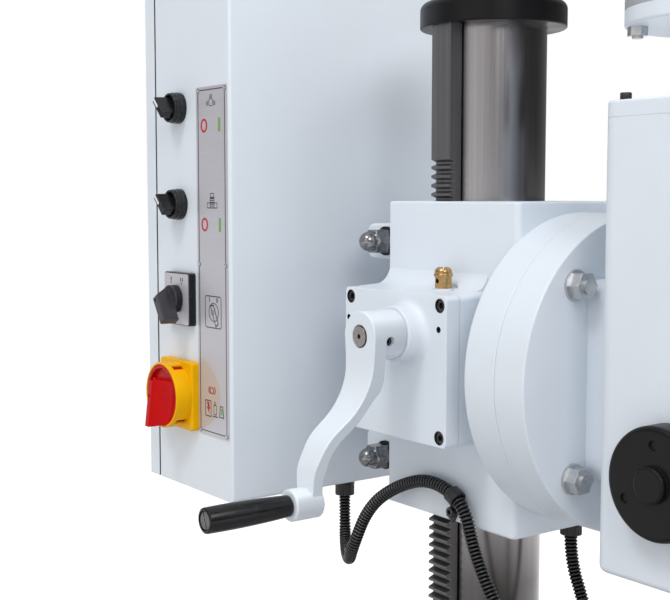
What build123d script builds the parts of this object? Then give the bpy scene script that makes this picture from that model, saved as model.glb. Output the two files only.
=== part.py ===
from build123d import *
import math
import os

os.makedirs("parts", exist_ok=True)

# ---------------------------------------------------------------- driving dimensions (mm)
ZC = 1000.0            # top face of the head carriage above the underside of the base
FIT = 0.03             # radial running fit of turning and sliding cylinders
COL_R = 47.5           # ground column, radius
COL_TOP = ZC + 166.0
BASE_Z = 64.0          # top of the base casting
PAD_Z = 70.0           # machined work surface of the base
FOOT_TOP = 200.0       # top of the column foot

RACK_M = 2.5           # module of the lifting rack
RACK_W = 24.0          # face width of the rack
RACK_TIP = -61.0       # x of the tooth tips
RACK_BACK = -48.0      # x of the flat back of the rack
RACK_PITCH_X = RACK_TIP + RACK_M
RACK_PITCH = math.pi * RACK_M
TOOTH_Z0 = ZC - 285.0  # one tooth centre
TOOTH_LOW, TOOTH_HIGH = -52, 40

CAR_X = 73.0           # half width of the carriage block
CAR_YF, CAR_YR = -108.0, 54.5
CAR_H = 275.0
GB_X = -108.5          # face of the gearbox under its cover
GB_YF, GB_YR = -80.0, 54.5
GB_ZT, GB_ZB = ZC - 75.0, ZC - 198.5
COVER_T = 14.5
COVER_X = GB_X - COVER_T
FLANGE_R = 128.0       # swivel flange
FLANGE_Z = ZC - 137.0
FLANGE_Y0, FLANGE_Y1, FLANGE_Y2 = -107.3, -139.6, -171.0

PINION_N = 17          # teeth of the pinion on the rack
PINION_R = PINION_N * RACK_M / 2
PX = RACK_PITCH_X - PINION_R - 0.05   # pinion axis, x
PZ = ZC - 144.0                       # pinion axis, z
WHEEL_M, WHEEL_N = 1.5, 32            # worm wheel
WHEEL_R = WHEEL_M * WHEEL_N / 2
WORM_R = 12.0                         # pitch radius of the single-start worm
WORM_LEAD = math.pi * WHEEL_M
YW, ZW = -31.8, PZ + WHEEL_R + WORM_R  # worm and crank axis (along x)
CRANK_R = 128.0        # crank axis to grip axis
CRANK_X = -173.0       # outer face of the crank hub
GRIP_X0, GRIP_X1 = -243.0, -317.0

STUD_Y = 77.5          # clamp studs behind the column
STUD_Z = (ZC - 37.0, ZC - 238.0)
LUG_X = 58.0
LUG_YR = 108.5

CAB_X = 193.5          # half width of the electrical cabinet
CAB_YF, CAB_YS, CAB_YR = 133.3, 271.3, 294.6
SEAM = 2.5             # gap between cabinet and door
CAB_ZB, CAB_ZT = ZC - 276.0, ZC + 284.0
SHEET = 1.6
YK = 225.3             # line of the switches on the cabinet's side
ZK = (ZC + 87.5, ZC - 3.5)
CAM_Y, CAM_Z = 220.7, ZC - 93.4
ISO_Y, ISO_Z = 223.4, ZC - 185.3
HINGE_X, HINGE_Y = 199.5, 272.55
HINGE_Z = (ZC + 190.0, ZC - 180.0)

SP_Y = -330.0          # spindle axis
QUILL_R = 37.5
HEAD_X = 92.0
HEAD_YR, HEAD_YF = -208.0, -424.0
HEAD_ZB, HEAD_ZT = ZC - 270.0, ZC + 60.0
CH_ZB, CH_ZT = ZC - 50.0, ZC + 60.0    # gear chamber
GEAR_M, GEAR_N1, GEAR_N2 = 2.0, 20, 60
MOT_Y = SP_Y + GEAR_M * (GEAR_N1 + GEAR_N2) / 2 + 0.1
MOT_Z = HEAD_ZT + 68.0                 # motor flange stands on a pedestal above the head cover
FEED_M, FEED_N = 2.0, 17
FEED_R = FEED_M * FEED_N / 2
QRACK_Y = SP_Y + 35.0                  # pitch line of the teeth in the quill
FEED_Y, FEED_Z = QRACK_Y + FEED_R + 0.05, ZC - 190.0
ARM_X = 150.0          # plane of the capstan arms

CORD_R = 5.75          # corrugated conduit


# ---------------------------------------------------------------- small shape helpers
def bx(x0, x1, y0, y1, z0, z1, mode=Mode.ADD):
    with Locations(((x0 + x1) / 2, (y0 + y1) / 2, (z0 + z1) / 2)):
        Box(abs(x1 - x0), abs(y1 - y0), abs(z1 - z0), mode=mode)


def cx(r, x0, x1, y, z, mode=Mode.ADD):
    with Locations(((x0 + x1) / 2, y, z)):
        Cylinder(r, abs(x1 - x0), rotation=(0, 90, 0), mode=mode)


def cy(r, x, y0, y1, z, mode=Mode.ADD):
    with Locations((x, (y0 + y1) / 2, z)):
        Cylinder(r, abs(y1 - y0), rotation=(90, 0, 0), mode=mode)


def cz(r, x, y, z0, z1, mode=Mode.ADD):
    with Locations((x, y, (z0 + z1) / 2)):
        Cylinder(r, abs(z1 - z0), mode=mode)


def plane_x(x, y=0.0, z=0.0):
    # sketch plane facing +x: sketch x is y, sketch y is z
    return Plane(origin=(x, y, z), x_dir=(0, 1, 0), z_dir=(1, 0, 0))


def plane_y(y, x=0.0, z=0.0):
    # sketch plane facing -y: sketch x is x, sketch y is z
    return Plane(origin=(x, y, z), x_dir=(1, 0, 0), z_dir=(0, -1, 0))


def hex_x(flats, x0, x1, y, z, mode=Mode.ADD):
    with BuildSketch(plane_x(x0, y, z)) as hexagon:
        RegularPolygon(flats / 2, 6, major_radius=False)
    extrude(hexagon.sketch, amount=x1 - x0, mode=mode)


def hex_y(flats, x, y0, y1, z, mode=Mode.ADD):
    with BuildSketch(plane_y(y0, x, z)) as hexagon:
        RegularPolygon(flats / 2, 6, major_radius=False)
    extrude(hexagon.sketch, amount=y0 - y1, mode=mode)


def hex_z(flats, x, y, z0, z1, mode=Mode.ADD):
    with BuildSketch(Plane.XY.offset(z0)) as hexagon:
        with Locations((x, y)):
            RegularPolygon(flats / 2, 6, major_radius=False)
    extrude(hexagon.sketch, amount=z1 - z0, mode=mode)


def gear_points(n, m, phase, slack, ha=1.0, hf=1.25, steps=5):
    # involute outline, 20 degree pressure angle, one tooth centred on the phase angle
    alpha = math.radians(20)
    rp = n * m / 2
    rb, rt, rr = rp * math.cos(alpha), rp + ha * m, rp - hf * m
    half = math.pi / (2 * n) - slack / (2 * rp) + math.tan(alpha) - alpha
    r0 = max(rb, rr)
    flank = []
    for i in range(steps + 1):
        r = r0 + (rt - r0) * i / steps
        a = math.acos(min(1.0, rb / r))
        flank.append((r, half - (math.tan(a) - a)))
    out = []
    for k in range(n):
        c = phase + 2 * math.pi * k / n
        side = ([(rr, flank[0][1])] if rr < r0 - 1e-6 else []) + flank
        for r, a in side:
            out.append((r * math.cos(c - a), r * math.sin(c - a)))
        for r, a in reversed(side):
            out.append((r * math.cos(c + a), r * math.sin(c + a)))
    return out


def save(builder, name):
    builder.part.label = name
    export_step(builder.part, "parts/" + name + ".step")


# ---------------------------------------------------------------- base, column and rack
with BuildPart() as base_plate:
    bx(-200, 200, -490, 180, 0, BASE_Z)
    fillet(base_plate.edges().filter_by(Axis.Z), 28)
    fillet(base_plate.faces().sort_by(Axis.Z)[-1].edges(), 7)
    bx(-168, 168, -474, -126, BASE_Z - 1, PAD_Z)
    for x in (-105, 0, 105):
        bx(x - 7, x + 7, -500, -140, PAD_Z - 12, PAD_Z + 1, Mode.SUBTRACT)
        bx(x - 12, x + 12, -500, -140, PAD_Z - 22, PAD_Z - 12, Mode.SUBTRACT)
    with Locations((-181, -440, BASE_Z), (181, -440, BASE_Z), (-181, 148, BASE_Z), (181, 148, BASE_Z)):
        CounterBoreHole(7, 12, 6, BASE_Z)
    for a in (45, 135, 225, 315):
        cz(6.1, 82 * math.cos(math.radians(a)), 82 * math.sin(math.radians(a)), BASE_Z - 30, BASE_Z + 1, Mode.SUBTRACT)
save(base_plate, "base_plate")

with BuildPart() as column_foot:
    with BuildSketch(Plane.XZ):
        with BuildLine():
            Polyline((COL_R, BASE_Z), (100, BASE_Z), (100, BASE_Z + 20), (68, BASE_Z + 24), (62, FOOT_TOP), (COL_R, FOOT_TOP), close=True)
        make_face()
    revolve(axis=Axis.Z)
    fillet(column_foot.edges().filter_by(GeomType.CIRCLE).filter_by(lambda e: 66 < e.radius < 70), 12)
    fillet(column_foot.edges().filter_by(GeomType.CIRCLE).filter_by(lambda e: e.radius > 98 and e.center().Z > BASE_Z + 10), 4)
    for a in (45, 135, 225, 315):
        x, y = 82 * math.cos(math.radians(a)), 82 * math.sin(math.radians(a))
        cz(6.6, x, y, BASE_Z - 1, BASE_Z + 40, Mode.SUBTRACT)
        cz(13, x, y, BASE_Z + 20, BASE_Z + 42, Mode.SUBTRACT)
save(column_foot, "column_foot")

with BuildPart() as foot_bolts:
    for a in (45, 135, 225, 315):
        x, y = 82 * math.cos(math.radians(a)), 82 * math.sin(math.radians(a))
        cz(6.0, x, y, BASE_Z - 28, BASE_Z + 20)
        cz(11.8, x, y, BASE_Z + 20, BASE_Z + 22.5)
        hex_z(19, x, y, BASE_Z + 22.5, BASE_Z + 30)
save(foot_bolts, "foot_bolts")

with BuildPart() as column:
    cz(COL_R, 0, 0, BASE_Z, COL_TOP)
    chamfer(column.edges().sort_by(Axis.Z)[-1], 1.5)
    cz(COL_R - 9.5, 0, 0, BASE_Z, COL_TOP, Mode.SUBTRACT)
save(column, "column")

with BuildPart() as rack_ring:
    cz(67, 0, 0, FOOT_TOP, FOOT_TOP + 28)
    chamfer(rack_ring.edges(), 1.5)
    cz(COL_R, 0, 0, FOOT_TOP, FOOT_TOP + 28, Mode.SUBTRACT)
    bx(RACK_TIP - 0.3, -40, -RACK_W / 2 - 0.3, RACK_W / 2 + 0.3, FOOT_TOP + 8, FOOT_TOP + 29, Mode.SUBTRACT)
    cy(3.2, 0, -70, -40, FOOT_TOP + 14, Mode.SUBTRACT)
save(rack_ring, "rack_ring")

# toothed bar, trapezoid teeth with 20 degree flanks, plain at both ends
rack_root = RACK_PITCH_X + 1.2 * RACK_M
w_tip = RACK_PITCH / 4 - RACK_M * math.tan(math.radians(20)) - 0.06
w_root = RACK_PITCH / 4 + 1.2 * RACK_M * math.tan(math.radians(20)) - 0.06
rack_pts = [(RACK_BACK, FOOT_TOP + 8), (RACK_TIP, FOOT_TOP + 8)]
for k in range(TOOTH_LOW, TOOTH_HIGH + 1):
    zc = TOOTH_Z0 + k * RACK_PITCH
    if k > TOOTH_LOW:
        rack_pts += [(rack_root, zc - w_root), (RACK_TIP, zc - w_tip)]
    rack_pts += [(RACK_TIP, zc + w_tip), (rack_root, zc + w_root)]
zc = TOOTH_Z0 + (TOOTH_HIGH + 1) * RACK_PITCH
rack_pts += [(rack_root, zc - w_root), (RACK_TIP, zc - w_tip), (RACK_TIP, ZC + 160), (RACK_BACK, ZC + 160)]
with BuildPart() as rack:
    with BuildSketch(plane_y(RACK_W / 2)):
        with BuildLine():
            Polyline(*rack_pts, close=True)
        make_face()
    extrude(amount=RACK_W)
save(rack, "rack")

with BuildPart() as column_cap:
    cz(65, 0, 0, ZC + 152, ZC + 175)
    fillet(column_cap.faces().sort_by(Axis.Z)[-1].edges(), 7)
    chamfer(column_cap.faces().sort_by(Axis.Z)[0].edges(), 0.8)
    cz(COL_R, 0, 0, ZC + 150, COL_TOP, Mode.SUBTRACT)
    bx(RACK_TIP - 0.8, -30, -RACK_W / 2 - 1.2, RACK_W / 2 + 1.2, ZC + 150, ZC + 160.5, Mode.SUBTRACT)
save(column_cap, "column_cap")

# ---------------------------------------------------------------- head carriage
COVER_HOLES = [(y, z) for y in (GB_YR - 8.1, GB_YF + 8.1) for z in (GB_ZT - 8.1, GB_ZB + 8.1)]
CLIP_X, CLIP_Y, CLIP_Z = -81.0, -44.67, ZC - 250.09
CLIP_DIR = Vector(0, -0.8718, -0.4898).normalized()
TAB_Y, TAB_Z = CLIP_Y + 18 * 0.4898, CLIP_Z - 18 * 0.8718     # screw of the clip
OIL_X, OIL_Y, OIL_Z = -90.0, -38.3, ZC - 72.4
GL2_X, GL2_Y = 20.0, -84.0          # conduit gland under the carriage
BRK_Z = (ZC - 95.0, ZC - 175.0)

with BuildPart() as carriage:
    bx(-CAR_X, CAR_X, CAR_YF, CAR_YR, ZC - CAR_H, ZC)
    fillet(carriage.edges().filter_by(Axis.Z).group_by(Axis.Y)[0], 5)
    fillet(carriage.edges().filter_by(Axis.Z).group_by(Axis.Y)[-1].sort_by(Axis.X)[-1], 2.6)
    fillet(carriage.edges().group_by(Axis.Z)[-1], 2.2)
    fillet(carriage.edges().group_by(Axis.Z)[0], 2.2)
    # gearbox on the left side, with a little draft towards its cover
    with BuildSketch(plane_x(GB_X, (GB_YF + GB_YR) / 2, (GB_ZT + GB_ZB) / 2)):
        RectangleRounded(GB_YR - GB_YF, GB_ZT - GB_ZB, 5)
        with Locations(((GB_YR - GB_YF) / 2 - 10, 0)):
            Rectangle(20, GB_ZT - GB_ZB)
    with BuildSketch(plane_x(-CAR_X + 8, (GB_YF - 2 + GB_YR) / 2, (GB_ZT + GB_ZB) / 2)):
        RectangleRounded(GB_YR - GB_YF + 2, GB_ZT - GB_ZB + 5, 5)
        with Locations(((GB_YR - GB_YF + 2) / 2 - 10, 0)):
            Rectangle(20, GB_ZT - GB_ZB + 5)
    loft()
    # casting radii between gearbox and block
    with BuildSketch(plane_y(GB_YR)):
        with BuildLine():
            Polyline((-CAR_X - 16.6, GB_ZT + 0.628), (-CAR_X - 16.6, GB_ZT - 3), (-CAR_X + 2, GB_ZT - 3), (-CAR_X + 2, GB_ZT + 18.6), (-CAR_X + 0.4, GB_ZT + 18.6))
            RadiusArc((-CAR_X + 0.4, GB_ZT + 18.6), (-CAR_X - 16.6, GB_ZT + 0.628), 18)
        make_face()
    extrude(amount=GB_YR - GB_YF - 5.8)
    with BuildSketch(Plane.XY.offset(GB_ZB + 6)):
        with BuildLine():
            Polyline((-CAR_X - 8.6, GB_YF - 0.863), (-CAR_X - 8.6, GB_YF + 3), (-CAR_X + 2, GB_YF + 3), (-CAR_X + 2, GB_YF - 8.8), (-CAR_X + 0.4, GB_YF - 8.8))
            RadiusArc((-CAR_X + 0.4, GB_YF - 8.8), (-CAR_X - 8.6, GB_YF - 0.863), -8)
        make_face()
    extrude(amount=GB_ZT - GB_ZB - 12)
    # swivel flange at the front
    cy(FLANGE_R, 0, FLANGE_Y1, FLANGE_Y0, FLANGE_Z)
    fillet(carriage.edges().filter_by(GeomType.CIRCLE).filter_by(lambda e: abs(e.radius - FLANGE_R) < 0.1 and e.center().Y < FLANGE_Y1 + 1), 1.2)
    # clamp lugs at the back
    bx(-LUG_X, LUG_X, CAR_YR - 6, LUG_YR, ZC - 54, ZC - 21)
    bx(-LUG_X, LUG_X, CAR_YR - 6, LUG_YR, ZC - 252, ZC - 216)
    fillet(carriage.edges().filter_by(Axis.X).filter_by(lambda e: e.center().Y > 100), 9)
    fillet(carriage.edges().filter_by(lambda e: abs(abs(e.center().X) - LUG_X) < 0.1 and e.center().Y > CAR_YR + 1), 3)
    # column bore, passage for the rack, clamping slit and stud holes
    cz(COL_R + FIT, 0, 0, ZC - CAR_H - 1, ZC + 1, Mode.SUBTRACT)
    bx(RACK_TIP - 3.5, -30, -RACK_W / 2 - 1.5, RACK_W / 2 + 1.5, ZC - CAR_H - 1, ZC + 1, Mode.SUBTRACT)
    bx(-3, 3, 30, LUG_YR + 1, ZC - CAR_H - 1, ZC + 1, Mode.SUBTRACT)
    for z in STUD_Z:
        cx(6.4, -LUG_X - 1, LUG_X + 1, STUD_Y, z, Mode.SUBTRACT)
    # pivot bore and ring-shaped T slot of the swivel flange
    cy(40 + FIT, 0, FLANGE_Y1 - 1, FLANGE_Y1 + 20, FLANGE_Z, Mode.SUBTRACT)
    with BuildSketch(plane_y(FLANGE_Y1 + 12, 0, FLANGE_Z)):
        Circle(111.5)
        Circle(98.5, mode=Mode.SUBTRACT)
    extrude(amount=13, mode=Mode.SUBTRACT)
    with BuildSketch(plane_y(FLANGE_Y1 + 21, 0, FLANGE_Z)):
        Circle(116.5)
        Circle(93.5, mode=Mode.SUBTRACT)
    extrude(amount=9, mode=Mode.SUBTRACT)
    # inside of the gearbox
    bx(GB_X - 1, -68, -64, 38, ZC - 186, ZC - 88, Mode.SUBTRACT)
    cy(27, PX, YW - 6.5, YW + 6.5, PZ, Mode.SUBTRACT)
    cy(25, PX, -13.3, 13.3, PZ, Mode.SUBTRACT)
    cx(15.2, GB_X - 1, -56, YW, ZW, Mode.SUBTRACT)
    cx(6 + FIT, -57, -43.5, YW, ZW, Mode.SUBTRACT)
    cy(9 + FIT, PX, -74, -60, PZ, Mode.SUBTRACT)
    cy(9 + FIT, PX, 36, 60, PZ, Mode.SUBTRACT)
    # tapped and plain holes
    for y, z in COVER_HOLES:
        cx(3, GB_X - 1, GB_X + 17, y, z, Mode.SUBTRACT)
    cz(8.8, OIL_X, OIL_Y, ZC - 82, OIL_Z)
    cz(12, OIL_X, OIL_Y, OIL_Z, ZC - 65, Mode.SUBTRACT)
    cz(4, OIL_X, OIL_Y, ZC - 90, OIL_Z, Mode.SUBTRACT)
    cx(2.5, -CAR_X - 1, -CAR_X + 11, TAB_Y, TAB_Z, Mode.SUBTRACT)
    cz(7, GL2_X, GL2_Y, ZC - CAR_H - 1, ZC - CAR_H + 14, Mode.SUBTRACT)
    for z in BRK_Z:
        cy(3, 60, CAR_YR - 14, CAR_YR + 1, z, Mode.SUBTRACT)
save(carriage, "carriage")

with BuildPart() as gearbox_cover:
    with BuildSketch(plane_x(COVER_X, (GB_YF + GB_YR) / 2, (GB_ZT + GB_ZB) / 2)):
        RectangleRounded(GB_YR - GB_YF, GB_ZT - GB_ZB, 4.5)
    extrude(amount=COVER_T)
    fillet(gearbox_cover.faces().sort_by(Axis.X)[0].edges(), 0.8)
    chamfer(gearbox_cover.faces().sort_by(Axis.X)[-1].edges(), 0.7)
    cx(23, -140, COVER_X + 1, YW, ZW)
    fillet(gearbox_cover.edges().filter_by(GeomType.CIRCLE).filter_by(lambda e: abs(e.radius - 23) < 0.1 and e.center().X > -130), 6.5)
    chamfer(gearbox_cover.edges().filter_by(GeomType.CIRCLE).filter_by(lambda e: abs(e.radius - 23) < 0.1 and e.center().X < -139), 0.8)
    cx(9 + FIT, -145, GB_X + 1, YW, ZW, Mode.SUBTRACT)
    for y, z in COVER_HOLES:
        cx(5.8, COVER_X - 1, COVER_X + 7.5, y, z, Mode.SUBTRACT)
        cx(3.3, COVER_X - 1, GB_X + 1, y, z, Mode.SUBTRACT)
    for y, z in ((49.4, ZC - 101.8), (-70.5, ZC - 102.5)):
        cx(2.6, COVER_X - 1, COVER_X + 9, y, z, Mode.SUBTRACT)
save(gearbox_cover, "gearbox_cover")

with BuildPart() as m6_screws:
    # cap screws of the gearbox cover
    for y, z in COVER_HOLES:
        cx(5, COVER_X + 1.5, COVER_X + 7.5, y, z)
        cx(2.95, COVER_X + 7.5, GB_X + 14, y, z)
        hex_x(5, COVER_X + 1.4, COVER_X + 4.8, y, z, Mode.SUBTRACT)
    # cap screws of the cabinet bracket
    for z in BRK_Z:
        cy(5, 60, CAR_YR + 6, CAR_YR + 12, z)
        cy(2.95, 60, CAR_YR - 12, CAR_YR + 6, z)
        hex_y(5, 60, CAR_YR + 12.1, CAR_YR + 8.7, z, Mode.SUBTRACT)
    for x in (20, 85):
        for z in BRK_Z:
            cy(5, x, CAB_YF - 12, CAB_YF - 6, z)
            cy(2.95, x, CAB_YF - 6, CAB_YF + 7, z)
            hex_y(10, x, CAB_YF + SHEET + 5, CAB_YF + SHEET, z)
            hex_y(5, x, CAB_YF - 8.6, CAB_YF - 12.1, z, Mode.SUBTRACT)
save(m6_screws, "m6_screws")

with BuildPart() as oiler:
    cz(3.98, OIL_X, OIL_Y, ZC - 86, OIL_Z)
    cz(7, OIL_X, OIL_Y, OIL_Z, ZC - 62.6)
    cz(8.1, OIL_X, OIL_Y, ZC - 62.6, ZC - 60.0)
    fillet(oiler.edges().filter_by(GeomType.CIRCLE).filter_by(lambda e: abs(e.radius - 8.1) < 0.05), 0.7)
    cz(7.3, OIL_X, OIL_Y, ZC - 60.1, ZC - 54.5)
    fillet(oiler.faces().sort_by(Axis.Z)[-1].edges(), 4.4)
    with Locations(Location((OIL_X, OIL_Y, ZC - 55.1), (0, 0, -36))):
        Box(1.8, 20, 4, mode=Mode.SUBTRACT)
    cz(1.6, OIL_X, OIL_Y, ZC - 87, ZC - 62, Mode.SUBTRACT)
    cx(2.0, OIL_X - 9, OIL_X, OIL_Y, ZC - 66.2, Mode.SUBTRACT)
save(oiler, "oiler")

with BuildPart() as clamp_studs:
    for z in STUD_Z:
        cx(6, -80.5, 80.5, STUD_Y, z)
    chamfer(clamp_studs.edges(), 1)
save(clamp_studs, "clamp_studs")

with BuildPart() as clamp_washers:
    for z in STUD_Z:
        for x in (-LUG_X - 2.5, LUG_X):
            cx(13.4, x, x + 2.5, STUD_Y, z)
            cx(6.4, x - 1, x + 4, STUD_Y, z, Mode.SUBTRACT)
save(clamp_washers, "clamp_washers")

with BuildPart() as dome_nuts:
    for z in STUD_Z:
        for s in (-1, 1):
            hex_x(21, s * (LUG_X + 2.5), s * 76.5, STUD_Y, z)
            with BuildSketch(Plane(origin=(0, STUD_Y, z), x_dir=(s, 0, 0), z_dir=(0, -s, 0))) as corner:
                Polygon((77, 10.0), (77, 13.2), (74.4, 13.2), align=None)
            revolve(corner.sketch, axis=Axis((0, STUD_Y, z), (1, 0, 0)), mode=Mode.SUBTRACT)
            cx(9, s * 76, s * 79.5, STUD_Y, z)
            with Locations((s * 79.5, STUD_Y, z)):
                Sphere(9)
            cx(6.05, s * (LUG_X + 2), s * 82, STUD_Y, z, Mode.SUBTRACT)
save(dome_nuts, "dome_nuts")

# conduit clip: a band round the conduit and a folded tab under one screw
clip_plane = Plane(origin=(CLIP_X, CLIP_Y, CLIP_Z), x_dir=(1, 0, 0), z_dir=tuple(CLIP_DIR))
with BuildPart() as p_clip:
    with BuildSketch(clip_plane.offset(-5)):
        Circle(CORD_R + 1.9)
        with Locations((6.75, -13)):
            Rectangle(2.5, 26)
        Circle(CORD_R + 0.5, mode=Mode.SUBTRACT)
    extrude(amount=10)
    split(bisect_by=Plane(origin=(-CAR_X, 0, 0), x_dir=(0, 1, 0), z_dir=(-1, 0, 0)), keep=Keep.TOP)
    cx(2.7, -CAR_X - 6, -CAR_X + 1, TAB_Y, TAB_Z, Mode.SUBTRACT)
save(p_clip, "p_clip")

with BuildPart() as clip_screw:
    cx(2.45, -CAR_X - 2.5, -CAR_X + 10, TAB_Y, TAB_Z)
    cx(4.5, -CAR_X - 6.5, -CAR_X - 2.5, TAB_Y, TAB_Z)
    fillet(clip_screw.faces().sort_by(Axis.X)[0].edges(), 1)
    hex_x(4, -CAR_X - 6.6, -CAR_X - 4, TAB_Y, TAB_Z, Mode.SUBTRACT)
save(clip_screw, "clip_screw")

# ---------------------------------------------------------------- lifting gear of the carriage
pinion_shift = (TOOTH_Z0 - PZ) / RACK_PITCH
pinion_shift = (pinion_shift - round(pinion_shift)) * RACK_PITCH   # nearest rack tooth above the axis
# the pinion has a tooth gap where the rack tooth stands
pinion_phase = pinion_shift / PINION_R + math.pi / PINION_N

with BuildPart() as pinion_shaft:
    with BuildSketch(plane_y(12.5, PX, PZ)):
        Polygon(*gear_points(PINION_N, RACK_M, pinion_phase, 0.2), align=None)
    extrude(amount=25)
    cy(9, PX, -73, 50, PZ)
    bx(PX - 2, PX + 2, YW - 5, YW + 5, PZ + 8, PZ + 11)
save(pinion_shaft, "pinion_shaft")

with BuildPart() as worm_wheel:
    with BuildSketch(plane_y(YW + 5, PX, PZ)):
        Polygon(*gear_points(WHEEL_N, WHEEL_M, math.pi / 2 + math.pi / WHEEL_N, 0.45, 0.93, 1.2, 4), align=None)
    extrude(amount=10)
    cy(9, PX, YW - 6, YW + 12, PZ, Mode.SUBTRACT)
    bx(PX - 2, PX + 2, YW - 6, YW + 12, PZ + 7, PZ + 11.2, Mode.SUBTRACT)
save(worm_wheel, "worm_wheel")

with BuildPart() as worm_shaft:
    with BuildLine() as worm_line:
        Helix(WORM_LEAD, WORM_LEAD * 7, WORM_R, center=(PX - WORM_LEAD * 3.0 + WORM_LEAD / 2, YW, ZW), direction=(1, 0, 0))
    with BuildSketch(Plane(origin=worm_line.line @ 0, x_dir=(0, 0, 1), z_dir=worm_line.line % 0)):
        Polygon((-2.2, -1.65), (1.35, -0.42), (1.35, 0.42), (-2.2, 1.65), align=None)
    sweep(is_frenet=True)
    cx(10.2, -100, -57, YW, ZW)
    cx(9, CRANK_X - 0.6, -99, YW, ZW)
    chamfer(worm_shaft.faces().sort_by(Axis.X)[0].edges(), 0.8)
    cx(6, -58, -44, YW, ZW)
    with Locations((CRANK_X - 0.6, YW, ZW)):
        Cone(2.2, 0.4, 5, rotation=(0, 90, 0), mode=Mode.SUBTRACT)
save(worm_shaft, "worm_shaft")

# crank: round hub, flat arm with an outward dog-leg, boss for the grip
CRANK_Z1 = ZW - CRANK_R
with BuildPart() as crank_arm:
    with BuildSketch(plane_y(YW + 24)):
        with BuildLine():
            s1 = Spline((CRANK_X, ZW - 18), (CRANK_X - 6, ZW - 43.7), (CRANK_X - 20.4, ZW - 62.4), (CRANK_X - 41, ZW - 80.2), (CRANK_X - 50.3, ZW - 95.8), (CRANK_X - 54, ZW - 118),
                        tangents=((0, -1), (0, -1)))
            l1 = Line(s1 @ 1, (CRANK_X - 54, CRANK_Z1 - 14))
            l2 = Line(l1 @ 1, (CRANK_X - 44, CRANK_Z1 - 14))
            l3 = Line(l2 @ 1, (CRANK_X - 44, ZW - 118))
            s2 = Spline(l3 @ 1, (CRANK_X - 40.6, ZW - 99.5), (CRANK_X - 33.0, ZW - 85.5), (CRANK_X - 12.5, ZW - 67.5), (CRANK_X + 3.4, ZW - 49), (CRANK_X + 12.5, ZW - 20),
                        tangents=((0, 1), (0, 1)))
            l4 = Line(s2 @ 1, (CRANK_X + 12.5, ZW + 24))
            l5 = Line(l4 @ 1, (CRANK_X, ZW + 24))
            l6 = Line(l5 @ 1, s1 @ 0)
        make_face()
    extrude(amount=48)
    with BuildSketch(plane_x(-260)):
        with Locations((YW, ZW)):
            Circle(20.3)
        with Locations((YW, CRANK_Z1)):
            Circle(10.4)
        Polygon((YW - 20.3, ZW), (YW + 20.3, ZW), (YW + 10.4, CRANK_Z1), (YW - 10.4, CRANK_Z1), align=None)
    extrude(amount=200, mode=Mode.INTERSECT)
    fillet(crank_arm.edges().filter_by(lambda e: e.length > 0.1), 1.1)
    cx(20.3, CRANK_X + 6, -140.4, YW, ZW)
    cx(12.8, GRIP_X0 + 1, CRANK_X - 43.2, YW, CRANK_Z1)
    fillet(crank_arm.edges().filter_by(GeomType.CIRCLE).filter_by(lambda e: abs(e.radius - 12.8) < 0.05 and e.center().X < GRIP_X0 + 3), 1.8)
    chamfer(crank_arm.edges().filter_by(GeomType.CIRCLE).filter_by(lambda e: abs(e.radius - 12.8) < 0.05 and e.center().X > CRANK_X - 44), 0.5)
    cx(9, CRANK_X - 1, -139, YW, ZW, Mode.SUBTRACT)
    with Locations((CRANK_X + 0.3, YW, ZW)):
        Cone(9.9, 9, 0.9, rotation=(0, 90, 0), mode=Mode.SUBTRACT)
    cy(4, -157, YW - 25, YW, ZW - 3.5, Mode.SUBTRACT)
    cx(4.98, GRIP_X0, -220, YW, CRANK_Z1, Mode.SUBTRACT)
save(crank_arm, "crank_arm")

with BuildPart() as crank_set_screw:
    cy(3.9, -157, YW - 16, YW - 9.9, ZW - 3.5)
    hex_y(4, -157, YW - 12, YW - 16.1, ZW - 3.5, Mode.SUBTRACT)
save(crank_set_screw, "crank_set_screw")

with BuildPart() as grip_pin:
    cx(4.9, GRIP_X1 + 6, -221, YW, CRANK_Z1)
    cx(7.2, GRIP_X1, GRIP_X1 + 6, YW, CRANK_Z1)
    chamfer(grip_pin.faces().sort_by(Axis.X)[0].edges(), 0.6)
    with Locations(Location((GRIP_X1 + 0.5, YW, CRANK_Z1), (-22, 0, 0))):
        Box(3, 1.6, 18, mode=Mode.SUBTRACT)
save(grip_pin, "grip_pin")

with BuildPart() as grip:
    with BuildSketch(Plane(origin=(0, YW, CRANK_Z1), x_dir=(1, 0, 0), z_dir=(0, -1, 0))):
        with BuildLine():
            g0 = Line((GRIP_X0 + 0.7, 5.2), (GRIP_X0 + 0.7, 7.4))
            g1 = Line(g0 @ 1, (GRIP_X0 - 0.2, 8.5))
            g2 = ThreePointArc(g1 @ 1, (GRIP_X0 - 33, 9.95), (GRIP_X1 + 1.2, 9.95))
            Polyline(g2 @ 1, (GRIP_X1 - 0.1, 9.6), (GRIP_X1 - 0.6, 8.4), (GRIP_X1 - 0.6, 7.6), (GRIP_X1 + 6.3, 7.6), (GRIP_X1 + 6.3, 5.2), g0 @ 0)
        make_face()
    revolve(axis=Axis((0, YW, CRANK_Z1), (1, 0, 0)))
save(grip, "grip")

# ---------------------------------------------------------------- electrical cabinet
with BuildPart() as cabinet_bracket:
    bx(10, 72, CAR_YR, CAR_YR + 6, ZC - 190, ZC - 80)
    bx(8, 100, CAB_YF - 6, CAB_YF, ZC - 190, ZC - 80)
    bx(36, 44, CAR_YR + 6, CAB_YF - 6, ZC - 190, ZC - 80)
    fillet(cabinet_bracket.edges().filter_by(Axis.Z).filter_by(lambda e: 35 < e.center().X < 45), 5)
    for z in BRK_Z:
        cy(3.3, 60, CAR_YR - 1, CAR_YR + 7, z, Mode.SUBTRACT)
        for x in (20, 85):
            cy(3.3, x, CAB_YF - 7, CAB_YF + 1, z, Mode.SUBTRACT)
save(cabinet_bracket, "cabinet_bracket")

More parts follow.
